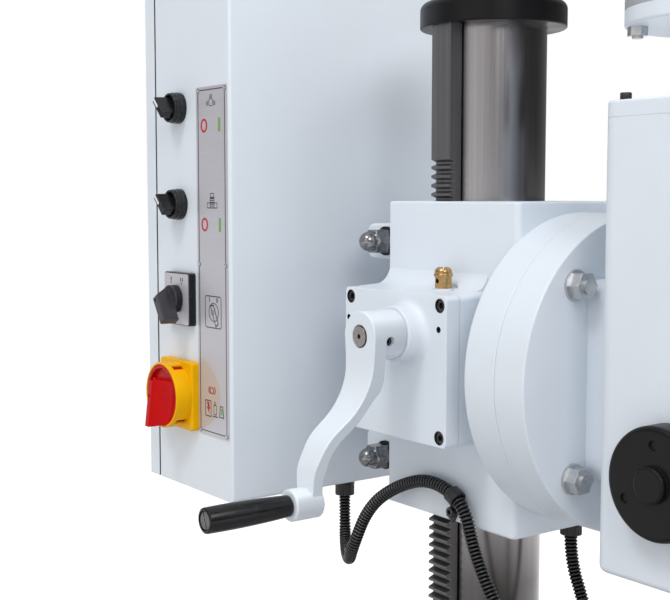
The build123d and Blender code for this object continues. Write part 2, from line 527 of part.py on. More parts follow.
GL1_X, GL1_Y = -53.0, 150.0
with BuildPart() as cabinet_body:
    bx(-CAB_X, CAB_X, CAB_YF, CAB_YS, CAB_ZB, CAB_ZT)
    fillet(cabinet_body.edges().filter_by(lambda e: abs(e.center().Y - CAB_YF) < 0.01), 3)
    bx(-CAB_X + SHEET, CAB_X - SHEET, CAB_YF + SHEET, CAB_YS + 1, CAB_ZB + SHEET, CAB_ZT - SHEET, Mode.SUBTRACT)
    # return flange round the door opening
    bx(-CAB_X + 0.5, CAB_X - 0.5, CAB_YS - SHEET, CAB_YS, CAB_ZB + 0.5, CAB_ZT - 0.5)
    bx(-CAB_X + 16, CAB_X - 16, CAB_YS - 3, CAB_YS + 1, CAB_ZB + 16, CAB_ZT - 16, Mode.SUBTRACT)
    for z in ZK:
        cx(11.1, -CAB_X - 1, -CAB_X + 5, YK, z, Mode.SUBTRACT)
    cx(14.1, -CAB_X - 1, -CAB_X + 5, CAM_Y, CAM_Z, Mode.SUBTRACT)
    cx(20.1, -CAB_X - 1, -CAB_X + 5, ISO_Y, ISO_Z, Mode.SUBTRACT)
    cz(8.1, GL1_X, GL1_Y, CAB_ZB - 1, CAB_ZB + 5, Mode.SUBTRACT)
    cz(8.1, 60, GL1_Y + 40, CAB_ZB - 1, CAB_ZB + 5, Mode.SUBTRACT)
    cz(8.1, 110, GL1_Y + 40, CAB_ZB - 1, CAB_ZB + 5, Mode.SUBTRACT)
    for x in (20, 85):
        for z in BRK_Z:
            cy(3.2, x, CAB_YF - 1, CAB_YF + 4, z, Mode.SUBTRACT)
    for z in HINGE_Z:
        bx(CAB_X - 1, HINGE_X, HINGE_Y - 4.5, CAB_YS, z - 25, z - 0.5)
        cz(4.5, HINGE_X, HINGE_Y, z - 25, z - 0.5)
        cz(2.5, HINGE_X, HINGE_Y, z - 2, z + 25)
save(cabinet_body, "cabinet_body")

with BuildPart() as cabinet_door:
    bx(-CAB_X, CAB_X, CAB_YS + SEAM, CAB_YR, CAB_ZB, CAB_ZT)
    fillet(cabinet_door.edges().filter_by(lambda e: abs(e.center().Y - CAB_YR) < 0.01), 3)
    bx(-CAB_X + SHEET, CAB_X - SHEET, CAB_YS - 1, CAB_YR - SHEET, CAB_ZB + SHEET, CAB_ZT - SHEET, Mode.SUBTRACT)
    cy(9 + 0.1, -165, CAB_YR - 5, CAB_YR + 1, ZC, Mode.SUBTRACT)
    for z in HINGE_Z:
        bx(CAB_X - 1, HINGE_X, CAB_YS + SEAM + 0.2, HINGE_Y + 4.5, z + 0.3, z + 24.8)
        cz(4.5, HINGE_X, HINGE_Y, z + 0.3, z + 24.8)
        cz(2.5 + 0.1, HINGE_X, HINGE_Y, z - 1, z + 26, Mode.SUBTRACT)
    # ventilation slots low on the door
    for i in range(6):
        bx(20, 120, CAB_YR - 5, CAB_YR + 1, CAB_ZB + 60 + 12 * i, CAB_ZB + 64 + 12 * i, Mode.SUBTRACT)
save(cabinet_door, "cabinet_door")

with BuildPart() as door_lock:
    cy(13, -165, CAB_YR, CAB_YR + 3, ZC)
    cy(9, -165, CAB_YR - 6, CAB_YR + 1, ZC)
    cy(5, -165, 265.5, CAB_YR - 5, ZC)
    bx(-173, -157, 266, 268.8, ZC - 8, ZC + 24)
    bx(-166.5, -163.5, CAB_YR + 1, CAB_YR + 4, ZC - 6, ZC + 6, Mode.SUBTRACT)
save(door_lock, "door_lock")

with BuildPart() as din_rail_panel:
    bx(-160, 160, 141, 143, ZC - 240, ZC + 250)
    for x in (-145, 145):
        for z in (ZC - 225, ZC + 235):
            cy(5, x, CAB_YF + SHEET, 141, z)
    for z in (ZC + 110, ZC - 60):
        bx(-150, 150, 143, 144.2, z - 13.5, z + 13.5)
        bx(-150, 150, 144.2, 149.3, z - 13.5, z - 12.3)
        bx(-150, 150, 144.2, 149.3, z + 12.3, z + 13.5)
        bx(-150, 150, 149.3, 150.5, z - 17.5, z - 12.3)
        bx(-150, 150, 149.3, 150.5, z + 12.3, z + 17.5)
save(din_rail_panel, "din_rail_panel")

with BuildPart() as contactors:
    for x in (-112, -60, -8):
        bx(x - 22.5, x + 22.5, 150.5, 205, ZC + 72, ZC + 148)
        bx(x - 15, x + 15, 205, 232, ZC + 90, ZC + 130)
        for i in (-1, 0, 1):
            cy(3, x + 14 * i, 198, 206, ZC + 140, Mode.SUBTRACT)
            cy(3, x + 14 * i, 198, 206, ZC + 80, Mode.SUBTRACT)
    bx(30, 140, 150.5, 215, ZC + 60, ZC + 160)
    for i in range(16):
        x = -140 + i * 13
        bx(x, x + 11.5, 150.5, 192, ZC - 85, ZC - 35)
        cy(2.4, x + 5.75, 180, 193, ZC - 44, Mode.SUBTRACT)
        cy(2.4, x + 5.75, 180, 193, ZC - 76, Mode.SUBTRACT)
save(contactors, "contactors")

with BuildPart() as label_strip:
    with BuildSketch(plane_x(-CAB_X - 0.8, (136.9 + 191.5) / 2, ZC + (104.2 - 218.8) / 2)):
        RectangleRounded(54.6, 323, 1.5)
    extrude(amount=0.8)
    for y in (140.4, 188.0):
        for z in (ZC + 100.7, ZC - 59.0, ZC - 215.3):
            cx(1.6, -CAB_X - 1.4, -CAB_X - 0.8, y, z)
save(label_strip, "label_strip")

with BuildPart() as selector_bezels:
    for z in ZK:
        cx(14.75, -CAB_X - 4.6, -CAB_X, YK, z)
        cx(13.8, -CAB_X - 5.4, -CAB_X - 4.5, YK, z)
        cx(14.35, -CAB_X - 8.5, -CAB_X - 5.4, YK, z)
        cx(13.3, -CAB_X - 9.2, -CAB_X - 8.4, YK, z)
        cx(13.8, -CAB_X - 11.7, -CAB_X - 9.2, YK, z)
        cx(11, -CAB_X, -CAB_X + 10, YK, z)
        bx(-CAB_X + 10, -CAB_X + 48, YK - 15, YK + 15, z - 20, z + 20)
        cx(9.8, -CAB_X - 14, -CAB_X + 6, YK, z, Mode.SUBTRACT)
        cx(11.9, -CAB_X - 14, -CAB_X - 5.4, YK, z, Mode.SUBTRACT)
    fillet(selector_bezels.edges().filter_by(GeomType.CIRCLE).filter_by(lambda e: abs(e.radius - 14.75) < 0.05 and e.center().X < -CAB_X - 4), 0.75)
    fillet(selector_bezels.edges().filter_by(GeomType.CIRCLE).filter_by(lambda e: abs(e.radius - 14.35) < 0.05), 0.35)
    fillet(selector_bezels.edges().filter_by(GeomType.CIRCLE).filter_by(lambda e: abs(e.radius - 13.8) < 0.05 and e.center().X < -CAB_X - 11), 0.9)
save(selector_bezels, "selector_bezels")


def selector_knob(z, name):
    # winged knob set in the bezel's recess, its pointer turned 45 degrees towards the back
    knob_plane = Plane(origin=(-CAB_X, YK, z), x_dir=(0, math.cos(math.radians(45)), math.sin(math.radians(45))), z_dir=(-1, 0, 0))
    with BuildPart() as knob:
        with BuildSketch(knob_plane.offset(7)):
            RectangleRounded(20.4, 12.4, 3)
        with BuildSketch(knob_plane.offset(23)):
            RectangleRounded(22.6, 6.2, 0.8)
        loft()
        fillet(knob.faces().sort_by(Axis.X)[0].edges(), 0.5)
        cx(11.4, -CAB_X - 7.6, -CAB_X - 5.6, YK, z)
        cx(9.5, -CAB_X - 7, -CAB_X + 5, YK, z)
    save(knob, name)


selector_knob(ZK[0], "selector_knob_upper")
selector_knob(ZK[1], "selector_knob_lower")

with BuildPart() as cam_switch_base:
    with BuildSketch(plane_x(-CAB_X - 7.4, CAM_Y, CAM_Z)):
        RectangleRounded(48, 50.2, 2.5)
    extrude(amount=7.4)
    fillet(cam_switch_base.faces().sort_by(Axis.X)[0].edges(), 0.8)
    cx(14, -CAB_X, -CAB_X + 6, CAM_Y, CAM_Z)
    bx(-CAB_X + 6, -CAB_X + 58, CAM_Y - 21, CAM_Y + 21, CAM_Z - 21, CAM_Z + 21)
    cx(5.5, -CAB_X - 10, -CAB_X + 20, CAM_Y, CAM_Z, Mode.SUBTRACT)
save(cam_switch_base, "cam_switch_base")

with BuildPart() as cam_switch_plate:
    with BuildSketch(plane_x(-CAB_X - 8.0, CAM_Y, CAM_Z)):
        RectangleRounded(46, 48.2, 1.5)
    extrude(amount=0.6)
    cx(6.5, -CAB_X - 11, -CAB_X, CAM_Y, CAM_Z, Mode.SUBTRACT)
save(cam_switch_plate, "cam_switch_plate")

CAM_TURN = 123.0
with BuildPart() as cam_switch_handle:
    cx(5.2, -CAB_X - 8.5, -CAB_X + 15, CAM_Y, CAM_Z)
    # bar handle, drawn on its flank
    along = (math.cos(math.radians(180 - CAM_TURN)), math.sin(math.radians(180 - CAM_TURN)))
    with BuildSketch(Plane(origin=(-CAB_X - 14.4, CAM_Y, CAM_Z), x_dir=(0, along[0], along[1]), z_dir=(0, -along[1], along[0]))) as bar:
        Polygon((-24.3, 0), (12.8, 0), (3.0, 16.2), (-23.9, 16.2), align=None)
    extrude(bar.sketch, amount=4.1, both=True)
    chamfer(cam_switch_handle.faces().sort_by(Axis.X)[0].edges(), 0.8)
    cx(13.3, -CAB_X - 15.5, -CAB_X - 8.4, CAM_Y, CAM_Z)
    cx(1.7, -CAB_X - 32, -CAB_X - 26, CAM_Y - 0.5 * along[0], CAM_Z - 0.5 * along[1], Mode.SUBTRACT)
save(cam_switch_handle, "cam_switch_handle")

with BuildPart() as isolator_base:
    with BuildSketch(plane_x(-CAB_X - 8, ISO_Y, ISO_Z)):
        RectangleRounded(63.2, 65.6, 4)
    extrude(amount=8)
    fillet(isolator_base.faces().sort_by(Axis.X)[0].edges(), 1.5)
    cx(31.4, -CAB_X - 24, -CAB_X - 5, ISO_Y, ISO_Z)
    fillet(isolator_base.faces().sort_by(Axis.X)[0].edges(), 0.9)
    cx(29.3, -CAB_X - 25, -CAB_X - 7, ISO_Y, ISO_Z, Mode.SUBTRACT)
    cx(20, -CAB_X, -CAB_X + 4, ISO_Y, ISO_Z)
    bx(-CAB_X + 4, -CAB_X + 50, ISO_Y - 26, ISO_Y + 26, ISO_Z - 28, ISO_Z + 28)
    cx(7.1, -CAB_X - 30, -CAB_X + 20, ISO_Y, ISO_Z, Mode.SUBTRACT)
    # padlock windows through the collar
    for th in (61, -50):
        a = math.radians(th)
        with Locations(Location((-CAB_X - 14, ISO_Y - 30.5 * math.cos(a), ISO_Z + 30.5 * math.sin(a)), (90 - th, 0, 0))):
            Box(11, 6.3, 7, mode=Mode.SUBTRACT)
save(isolator_base, "isolator_base")

# handle: a cup with a rim, and a ridge across it that leans out at its lower end
with BuildPart() as ridge:
    for z, front in ((ISO_Z - 28.9, -CAB_X - 40.1), (ISO_Z + 14.6, -CAB_X - 35.2)):
        with BuildSketch(Plane.XY.offset(z)):
            with BuildLine():
                r1 = Spline((front, ISO_Y + 3.3), (front + 7.4, ISO_Y + 6.0), (-CAB_X - 24.4, ISO_Y + 11.5), (-CAB_X - 22.0, ISO_Y + 21))
                r2 = Polyline(r1 @ 1, (-CAB_X - 14, ISO_Y + 21), (-CAB_X - 14, ISO_Y - 21), (-CAB_X - 22.0, ISO_Y - 21))
                r3 = Spline(r2 @ 1, (-CAB_X - 24.4, ISO_Y - 11.5), (front + 7.4, ISO_Y - 6.0), (front, ISO_Y - 3.3))
                Line(r3 @ 1, r1 @ 0)
            make_face()
    loft(ruled=True)
    fillet(ridge.faces().sort_by(Axis.X)[0].edges(), 0.7)
    cx(29.0, -CAB_X - 50, -CAB_X - 14, ISO_Y, ISO_Z, Mode.INTERSECT)

with BuildPart() as isolator_handle:
    cx(29.0, -CAB_X - 19.6, -CAB_X - 7.2, ISO_Y, ISO_Z)
    with BuildSketch(plane_x(-CAB_X - 23.8, ISO_Y, ISO_Z)) as rim:
        Circle(29.0)
        Circle(25.4, mode=Mode.SUBTRACT)
    extrude(rim.sketch, amount=9)
    fillet(isolator_handle.edges().filter_by(GeomType.CIRCLE).filter_by(lambda e: e.center().X < -CAB_X - 23), 0.9)
    add(ridge.part)
    cx(7, -CAB_X - 8, -CAB_X + 15, ISO_Y, ISO_Z)
    cx(1.7, -CAB_X - 45, -CAB_X - 33, ISO_Y, ISO_Z + 0.5, Mode.SUBTRACT)
save(isolator_handle, "isolator_handle")

# ---------------------------------------------------------------- conduit and its glands
with BuildPart() as glands:
    for x, y, zt in ((GL1_X, GL1_Y, CAB_ZB), (60, GL1_Y + 40, CAB_ZB), (110, GL1_Y + 40, CAB_ZB), (GL2_X, GL2_Y, ZC - CAR_H)):
        with BuildSketch(Plane.XY.offset(zt - 15)) as ring:
            with Locations((x, y)):
                Polygon(*[((9.5 if k % 4 < 2 else 8.9) * math.cos(math.pi * k / 40), (9.5 if k % 4 < 2 else 8.9) * math.sin(math.pi * k / 40)) for k in range(80)], align=None)
        extrude(ring.sketch, amount=11)
        cz(9.9, x, y, zt - 4.2, zt)
    for x, y in ((GL1_X, GL1_Y), (60, GL1_Y + 40), (110, GL1_Y + 40)):
        cz(8, x, y, CAB_ZB - 1, CAB_ZB + 12)
        hex_z(20, x, y, CAB_ZB + SHEET, CAB_ZB + SHEET + 5)
    cz(6.9, GL2_X, GL2_Y, ZC - CAR_H - 1, ZC - CAR_H + 12)
save(glands, "glands")

CORD_PTS = [
    (GL1_X, GL1_Y, CAB_ZB - 15), (GL1_X, GL1_Y, ZC - 323.6), (-66, 131.1, ZC - 348.2), (-83.1, 102.2, ZC - 349.9), (-97.5, 78.3, ZC - 325.5), (-92.2, 59.7, ZC - 277.8),
    (-84.6, 25.6, ZC - 252.8), (-81, -13.6, ZC - 240.3), (-81, -55.1, ZC - 251.9), (-81, -69.5, ZC - 292.5), (-77.6, -89.4, ZC - 330.4), (-68.2, -112.5, ZC - 362.9),
    (-49, -124.8, ZC - 387.4), (-17.1, -126.7, ZC - 394.3), (11, -117.4, ZC - 380.4), (21.2, -100.2, ZC - 350.5), (GL2_X, GL2_Y, ZC - 312.8), (GL2_X, GL2_Y, ZC - CAR_H - 15),
]


def cord_radii(pts):
    radii = []
    for a, b, c in zip(pts, pts[1:], pts[2:]):
        u, v = Vector(*b) - Vector(*a), Vector(*c) - Vector(*b)
        turn = math.acos(max(-1, min(1, u.normalized().dot(v.normalized()))))
        radii.append(0.45 * min(u.length, v.length) / math.tan(turn / 2))
    return radii


CORD_RADII = cord_radii(CORD_PTS)
print("conduit bend radii", [round(r, 1) for r in CORD_RADII])
with BuildPart() as conduit:
    with BuildLine() as conduit_line:
        FilletPolyline(*CORD_PTS, radius=CORD_RADII)
    with BuildSketch(Plane(origin=conduit_line.line @ 0, z_dir=conduit_line.line % 0)):
        Circle(CORD_R)
    sweep()
print("conduit length", round(conduit_line.wire().length, 1), "volume ratio", round(conduit.part.volume / (math.pi * CORD_R ** 2 * conduit_line.wire().length), 4))
save(conduit, "conduit")

# ---------------------------------------------------------------- drilling head
BOLT_PCD = 105.0
BOLT_ANG = (45, 135, 225, 315)
COVER_SCREWS = [(x, y) for x in (-HEAD_X + 6.5, HEAD_X - 6.5) for y in (-378, -302, -226)]
MOTOR_BOLTS = [(66.5 * math.cos(math.radians(a)), MOT_Y + 66.5 * math.sin(math.radians(a))) for a in BOLT_ANG]
with BuildPart() as head_casting:
    bx(-HEAD_X, HEAD_X, HEAD_YF, HEAD_YR, HEAD_ZB, HEAD_ZT)
    fillet(head_casting.edges().filter_by(Axis.Z).filter_by(lambda e: e.center().Y < -300), 40)
    fillet(head_casting.edges().filter_by(Axis.Z).filter_by(lambda e: e.center().Y > -300), 14)
    fillet(head_casting.edges().group_by(Axis.Z)[0], 5)
    # neck, flange and pivot spigot
    bx(-60, 60, HEAD_YR - 2, FLANGE_Y2 + 4, FLANGE_Z - 78, FLANGE_Z + 78)
    fillet(head_casting.edges().filter_by(Axis.Y).filter_by(lambda e: abs(abs(e.center().X) - 60) < 0.1), 14)
    cy(FLANGE_R, 0, FLANGE_Y2, FLANGE_Y1 - 0.1, FLANGE_Z)
    fillet(head_casting.edges().filter_by(GeomType.CIRCLE).filter_by(lambda e: abs(e.radius - FLANGE_R) < 0.1), 1.5)
    cy(40, 0, FLANGE_Y1 - 1, FLANGE_Y1 + 18, FLANGE_Z)
    # quill nose below the casting and guide lug of the depth stop
    cz(52, 0, SP_Y, HEAD_ZB - 22, HEAD_ZB + 5)
    bx(-16, 16, HEAD_YF - 34, HEAD_YF + 10, ZC - 244, ZC - 216)
    fillet(head_casting.edges().filter_by(Axis.Z).filter_by(lambda e: abs(e.center().Y - HEAD_YF + 34) < 0.1), 12)
    # bosses of the feed shaft
    cx(38, HEAD_X - 6, HEAD_X + 5, FEED_Y, FEED_Z)
    fillet(head_casting.edges().filter_by(GeomType.CIRCLE).filter_by(lambda e: abs(e.radius - 38) < 0.1 and e.center().X > HEAD_X + 4), 2)
    # gear chamber, quill bore, feed shaft bores
    bx(-HEAD_X + 13, HEAD_X - 13, HEAD_YF + 26, HEAD_YR - 12, CH_ZB, HEAD_ZT + 1, Mode.SUBTRACT)
    cz(QUILL_R + FIT, 0, SP_Y, HEAD_ZB - 30, CH_ZB + 1, Mode.SUBTRACT)
    cx(10 + FIT, -HEAD_X - 1, HEAD_X + 6, FEED_Y, FEED_Z, Mode.SUBTRACT)
    cx(FEED_R + FEED_M + 0.8, -15, 15, FEED_Y, FEED_Z, Mode.SUBTRACT)
    bx(-15, 15, FEED_Y - FEED_R - 8, FEED_Y, FEED_Z - FEED_R - 2.8, FEED_Z + FEED_R + 2.8, Mode.SUBTRACT)
    bx(-10.6, 10.6, SP_Y + 20, QRACK_Y + 3.4, HEAD_ZB - 30, CH_ZB + 1, Mode.SUBTRACT)
    cz(6.15, 0, HEAD_YF - 18, ZC - 260, ZC - 200, Mode.SUBTRACT)
    for a in BOLT_ANG:
        x, z = BOLT_PCD * math.cos(math.radians(a)), FLANGE_Z + BOLT_PCD * math.sin(math.radians(a))
        cy(6.4, x, FLANGE_Y2 - 1, FLANGE_Y1 + 1, z, Mode.SUBTRACT)
    for x, y in COVER_SCREWS:
        cz(2.5, x, y, HEAD_ZT - 15, HEAD_ZT + 1, Mode.SUBTRACT)
save(head_casting, "head_casting")

with BuildPart() as flange_bolts:
    for a in BOLT_ANG:
        x, z = BOLT_PCD * math.cos(math.radians(a)), FLANGE_Z + BOLT_PCD * math.sin(math.radians(a))
        cy(10.5, x, FLANGE_Y1 + 12.2, FLANGE_Y1 + 20, z)
        cy(6, x, FLANGE_Y2 - 15, FLANGE_Y1 + 12.2, z)
        cy(12, x, FLANGE_Y2 - 2.5, FLANGE_Y2, z)
        hex_y(19, x, FLANGE_Y2 - 2.5, FLANGE_Y2 - 12.5, z)
save(flange_bolts, "flange_bolts")

with BuildPart() as head_cover:
    with BuildSketch(Plane.XY.offset(HEAD_ZT)):
        with Locations((0, (HEAD_YF + HEAD_YR) / 2)):
            Rectangle(2 * HEAD_X, HEAD_YR - HEAD_YF)
    extrude(amount=12)
    fillet(head_cover.edges().filter_by(Axis.Z).filter_by(lambda e: e.center().Y < -300), 40)
    fillet(head_cover.edges().filter_by(Axis.Z).filter_by(lambda e: e.center().Y > -300), 14)
    fillet(head_cover.faces().sort_by(Axis.Z)[-1].edges(), 2)
    # guide of the drive sleeve below, cap over the spindle end above
    cz(34, 0, SP_Y, HEAD_ZT - 28, HEAD_ZT + 1)
    cz(30, 0, SP_Y, HEAD_ZT + 11, HEAD_ZT + 74)
    fillet(head_cover.faces().sort_by(Axis.Z)[-1].edges(), 8)
    # pedestal of the motor with its round flange
    cz(36, 0, MOT_Y, HEAD_ZT + 11, MOT_Z + 1)
    fillet(head_cover.edges().filter_by(GeomType.CIRCLE).filter_by(lambda e: abs(e.radius - 36) < 0.1 and e.center().Z < HEAD_ZT + 13), 3)
    cz(76, 0, MOT_Y, MOT_Z, MOT_Z + 12)
    fillet(head_cover.edges().filter_by(GeomType.CIRCLE).filter_by(lambda e: abs(e.radius - 76) < 0.1 and e.center().Z < MOT_Z + 1), 2)
    cz(24 + FIT, 0, SP_Y, HEAD_ZT - 29, HEAD_ZT + 70, Mode.SUBTRACT)
    cz(26, 0, MOT_Y, HEAD_ZT - 1, MOT_Z + 13, Mode.SUBTRACT)
    cz(40 + 0.05, 0, MOT_Y, MOT_Z + 6, MOT_Z + 13, Mode.SUBTRACT)
    for x, y in COVER_SCREWS:
        cz(2.6, x, y, HEAD_ZT - 1, HEAD_ZT + 13, Mode.SUBTRACT)
    for x, y in MOTOR_BOLTS:
        cz(4.3, x, y, MOT_Z - 1, MOT_Z + 13, Mode.SUBTRACT)
save(head_cover, "head_cover")

with BuildPart() as cover_screws:
    for x, y in COVER_SCREWS:
        cz(2.4, x, y, HEAD_ZT - 12, HEAD_ZT + 12)
        cz(4.1, x, y, HEAD_ZT + 12, HEAD_ZT + 17)
    chamfer(cover_screws.edges().filter_by(GeomType.CIRCLE).filter_by(lambda e: abs(e.radius - 4.1) < 0.05 and e.center().Z > HEAD_ZT + 16), 0.5)
    for x, y in COVER_SCREWS:
        hex_z(4, x, y, HEAD_ZT + 14, HEAD_ZT + 17.1, Mode.SUBTRACT)
save(cover_screws, "cover_screws")

with BuildPart() as motor_bolts:
    for x, y in MOTOR_BOLTS:
        cz(4, x, y, MOT_Z - 8.5, MOT_Z + 24)
        hex_z(13, x, y, MOT_Z + 24, MOT_Z + 29.3)
        hex_z(13, x, y, MOT_Z - 6.5, MOT_Z)
save(motor_bolts, "motor_bolts")

# round housing of the quill's return spring, on the left end of the feed shaft
with BuildPart() as spring_housing:
    cx(40, -HEAD_X - 20, -HEAD_X, FEED_Y, FEED_Z)
    fillet(spring_housing.faces().sort_by(Axis.X)[0].edges(), 4)
    cx(13, -HEAD_X - 25, -HEAD_X - 19, FEED_Y, FEED_Z)
    fillet(spring_housing.faces().sort_by(Axis.X)[0].edges(), 2)
    cx(34, -HEAD_X - 16, -HEAD_X + 1, FEED_Y, FEED_Z, Mode.SUBTRACT)
    for k in range(3):
        a = math.radians(90 + 120 * k)
        cx(3.6, -HEAD_X - 21, -HEAD_X - 18.5, FEED_Y + 27 * math.cos(a), FEED_Z + 27 * math.sin(a), Mode.SUBTRACT)
save(spring_housing, "spring_housing")

with BuildPart() as motor_body:
    cz(76, 0, MOT_Y, MOT_Z + 12, MOT_Z + 24)
    fillet(motor_body.faces().sort_by(Axis.Z)[-1].edges(), 2)
    cz(40, 0, MOT_Y, MOT_Z + 6.5, MOT_Z + 13)
    cz(58, 0, MOT_Y, MOT_Z + 23, MOT_Z + 196)
    for k in range(30):
        a = math.radians(12 * k)
        with Locations(Location((60 * math.cos(a), MOT_Y + 60 * math.sin(a), MOT_Z + 105), (0, 0, 12 * k))):
            Box(14, 2.6, 140)
    # fan cowl
    cz(66, 0, MOT_Y, MOT_Z + 182, MOT_Z + 226)
    fillet(motor_body.faces().sort_by(Axis.Z)[-1].edges(), 10)
    # terminal box towards the right
    bx(50, 100, MOT_Y - 40, MOT_Y + 40, MOT_Z + 60, MOT_Z + 150)
    fillet(motor_body.edges().filter_by(lambda e: e.center().X > 99), 4)
    # inside: rotor space and fan space
    cz(50, 0, MOT_Y, MOT_Z + 36, MOT_Z + 170, Mode.SUBTRACT)
    cz(60, 0, MOT_Y, MOT_Z + 198, MOT_Z + 221, Mode.SUBTRACT)
    cz(12 + FIT, 0, MOT_Y, MOT_Z, MOT_Z + 200, Mode.SUBTRACT)
    cz(26, 0, MOT_Y, MOT_Z + 5, MOT_Z + 20, Mode.SUBTRACT)
    for x, y in MOTOR_BOLTS:
        cz(4.3, x, y, MOT_Z + 11, MOT_Z + 25, Mode.SUBTRACT)
    for r, n in ((20, 8), (34, 14), (48, 20)):
        for k in range(n):
            a = 2 * math.pi * k / n
            cz(2.6, r * math.cos(a), MOT_Y + r * math.sin(a), MOT_Z + 215, MOT_Z + 230, Mode.SUBTRACT)
save(motor_body, "motor_body")

with BuildPart() as motor_shaft:
    with BuildSketch(Plane.XY.offset(ZC - 16)):
        with Locations((0, MOT_Y)):
            Polygon(*gear_points(GEAR_N1, GEAR_M, -math.pi / 2, 0.2), align=None)
    extrude(amount=30)
    cz(12, 0, MOT_Y, ZC - 20, MOT_Z + 199)
    cz(46, 0, MOT_Y, MOT_Z + 50, MOT_Z + 156)
    cz(10, 0, MOT_Y, MOT_Z + 198, MOT_Z + 214)
    for k in range(7):
        a = math.radians(360 / 7 * k)
        with Locations(Location((31 * math.cos(a), MOT_Y + 31 * math.sin(a), MOT_Z + 207), (0, 0, 360 / 7 * k))):
            Box(44, 2, 12)
save(motor_shaft, "motor_shaft")

with BuildPart() as drive_gear:
    with BuildSketch(Plane.XY.offset(ZC - 14)):
        with Locations((0, SP_Y)):
            Polygon(*gear_points(GEAR_N2, GEAR_M, math.pi / 2 + math.pi / GEAR_N2, 0.2), align=None)
    extrude(amount=26)
    cz(46, 0, SP_Y, CH_ZB + 0.05, ZC - 14)
    cz(30, 0, SP_Y, ZC + 11, HEAD_ZT - 28.1)
    cz(24, 0, SP_Y, ZC + 11, HEAD_ZT - 1)
    cz(15.1, 0, SP_Y, CH_ZB, HEAD_ZT, Mode.SUBTRACT)
    bx(-3.1, 3.1, SP_Y - 18.6, SP_Y + 18.6, CH_ZB, HEAD_ZT, Mode.SUBTRACT)
save(drive_gear, "drive_gear")

with BuildPart() as quill:
    cz(QUILL_R, 0, SP_Y, ZC - 328, ZC - 54)
    chamfer(quill.faces().sort_by(Axis.Z)[0].edges(), 2)
    # rack teeth cut in the back of the quill
    bx(-10, 10, QRACK_Y + FEED_M, SP_Y + 45, ZC - 214, ZC - 50, Mode.SUBTRACT)
    q_pitch = math.pi * FEED_M
    for k in range(-3, 22):
        zt = FEED_Z + k * q_pitch
        gap_tip = q_pitch / 4 + FEED_M * math.tan(math.radians(20)) + 0.06
        gap_root = q_pitch / 4 - 1.2 * FEED_M * math.tan(math.radians(20)) + 0.06
        with BuildSketch(Plane(origin=(-10, 0, 0), x_dir=(0, 1, 0), z_dir=(1, 0, 0))):
            Polygon((QRACK_Y + FEED_M + 0.5, zt - gap_tip - 0.18), (QRACK_Y + FEED_M + 0.5, zt + gap_tip + 0.18), (QRACK_Y - 1.2 * FEED_M, zt + gap_root), (QRACK_Y - 1.2 * FEED_M, zt - gap_root), align=None)
        extrude(amount=20, mode=Mode.SUBTRACT)
    cz(20.05, 0, SP_Y, ZC - 330, ZC - 50, Mode.SUBTRACT)
save(quill, "quill")

with BuildPart() as spindle:
    cz(20, 0, SP_Y, ZC - 340, ZC - 60)
    cz(30, 0, SP_Y, ZC - 345, ZC - 328.3)
    cz(15, 0, SP_Y, ZC - 61, HEAD_ZT + 62)
    bx(-3, 3, SP_Y - 18.4, SP_Y + 18.4, ZC - 46, HEAD_ZT + 58)
    cz(9, 0, SP_Y, ZC - 366, ZC - 344)
save(spindle, "spindle")

with BuildPart() as chuck:
    with BuildSketch(Plane.XZ.offset(-SP_Y)):
        with BuildLine():
            Polyline((9, ZC - 345), (24, ZC - 345), (26, ZC - 348), (26, ZC - 372), (27.5, ZC - 374), (27.5, ZC - 398), (16, ZC - 416), (10, ZC - 416), (10, ZC - 366), (9, ZC - 366), close=True)
        make_face()
    revolve(axis=Axis((0, SP_Y, 0), (0, 0, 1)))
    for k in range(3):
        a = math.radians(60 + 120 * k)
        with Locations(Location((22 * math.cos(a), SP_Y + 22 * math.sin(a), ZC - 360), (0, 90, 60 + 120 * k))):
            Cylinder(3.5, 18, mode=Mode.SUBTRACT)
save(chuck, "chuck")

with BuildPart() as chuck_jaws:
    for k in range(3):
        with Locations(Location((0, SP_Y, ZC - 399), (0, 0, 120 * k))):
            with Locations((6.0, 0, 0)):
                Box(7.2, 5.2, 54)
save(chuck_jaws, "chuck_jaws")

with BuildPart() as feed_shaft:
    with BuildSketch(plane_x(-9, FEED_Y, FEED_Z)):
        Polygon(*gear_points(FEED_N, FEED_M, math.pi, 0.2), align=None)
    extrude(amount=18)
    cx(10, -HEAD_X - 11, 140, FEED_Y, FEED_Z)
    cx(24, HEAD_X + 6, 133, FEED_Y, FEED_Z)
    cx(34, 131, 169, FEED_Y, FEED_Z)
    fillet(feed_shaft.faces().sort_by(Axis.X)[-1].edges(), 6)
    for k in range(3):
        a = math.radians(90 + 120 * k)
        with Locations(Location((ARM_X, FEED_Y + 30 * math.cos(a), FEED_Z + 30 * math.sin(a)), (120 * k, 0, 0))):
            Cylinder(7, 28, mode=Mode.SUBTRACT)
save(feed_shaft, "feed_shaft")

with BuildPart() as capstan_arms:
    for k in range(3):
        a = math.radians(90 + 120 * k)
        with Locations(Location((ARM_X, FEED_Y + 96 * math.cos(a), FEED_Z + 96 * math.sin(a)), (120 * k, 0, 0))):
            Cylinder(7, 160)
save(capstan_arms, "capstan_arms")

with BuildPart() as capstan_knobs:
    for k in range(3):
        a = math.radians(90 + 120 * k)
        with Locations((ARM_X, FEED_Y + 186 * math.cos(a), FEED_Z + 186 * math.sin(a))):
            Sphere(17)
        with Locations(Location((ARM_X, FEED_Y + 168 * math.cos(a), FEED_Z + 168 * math.sin(a)), (120 * k, 0, 0))):
            Cylinder(10.5, 14)
            Cylinder(7, 17, mode=Mode.SUBTRACT)
save(capstan_knobs, "capstan_knobs")

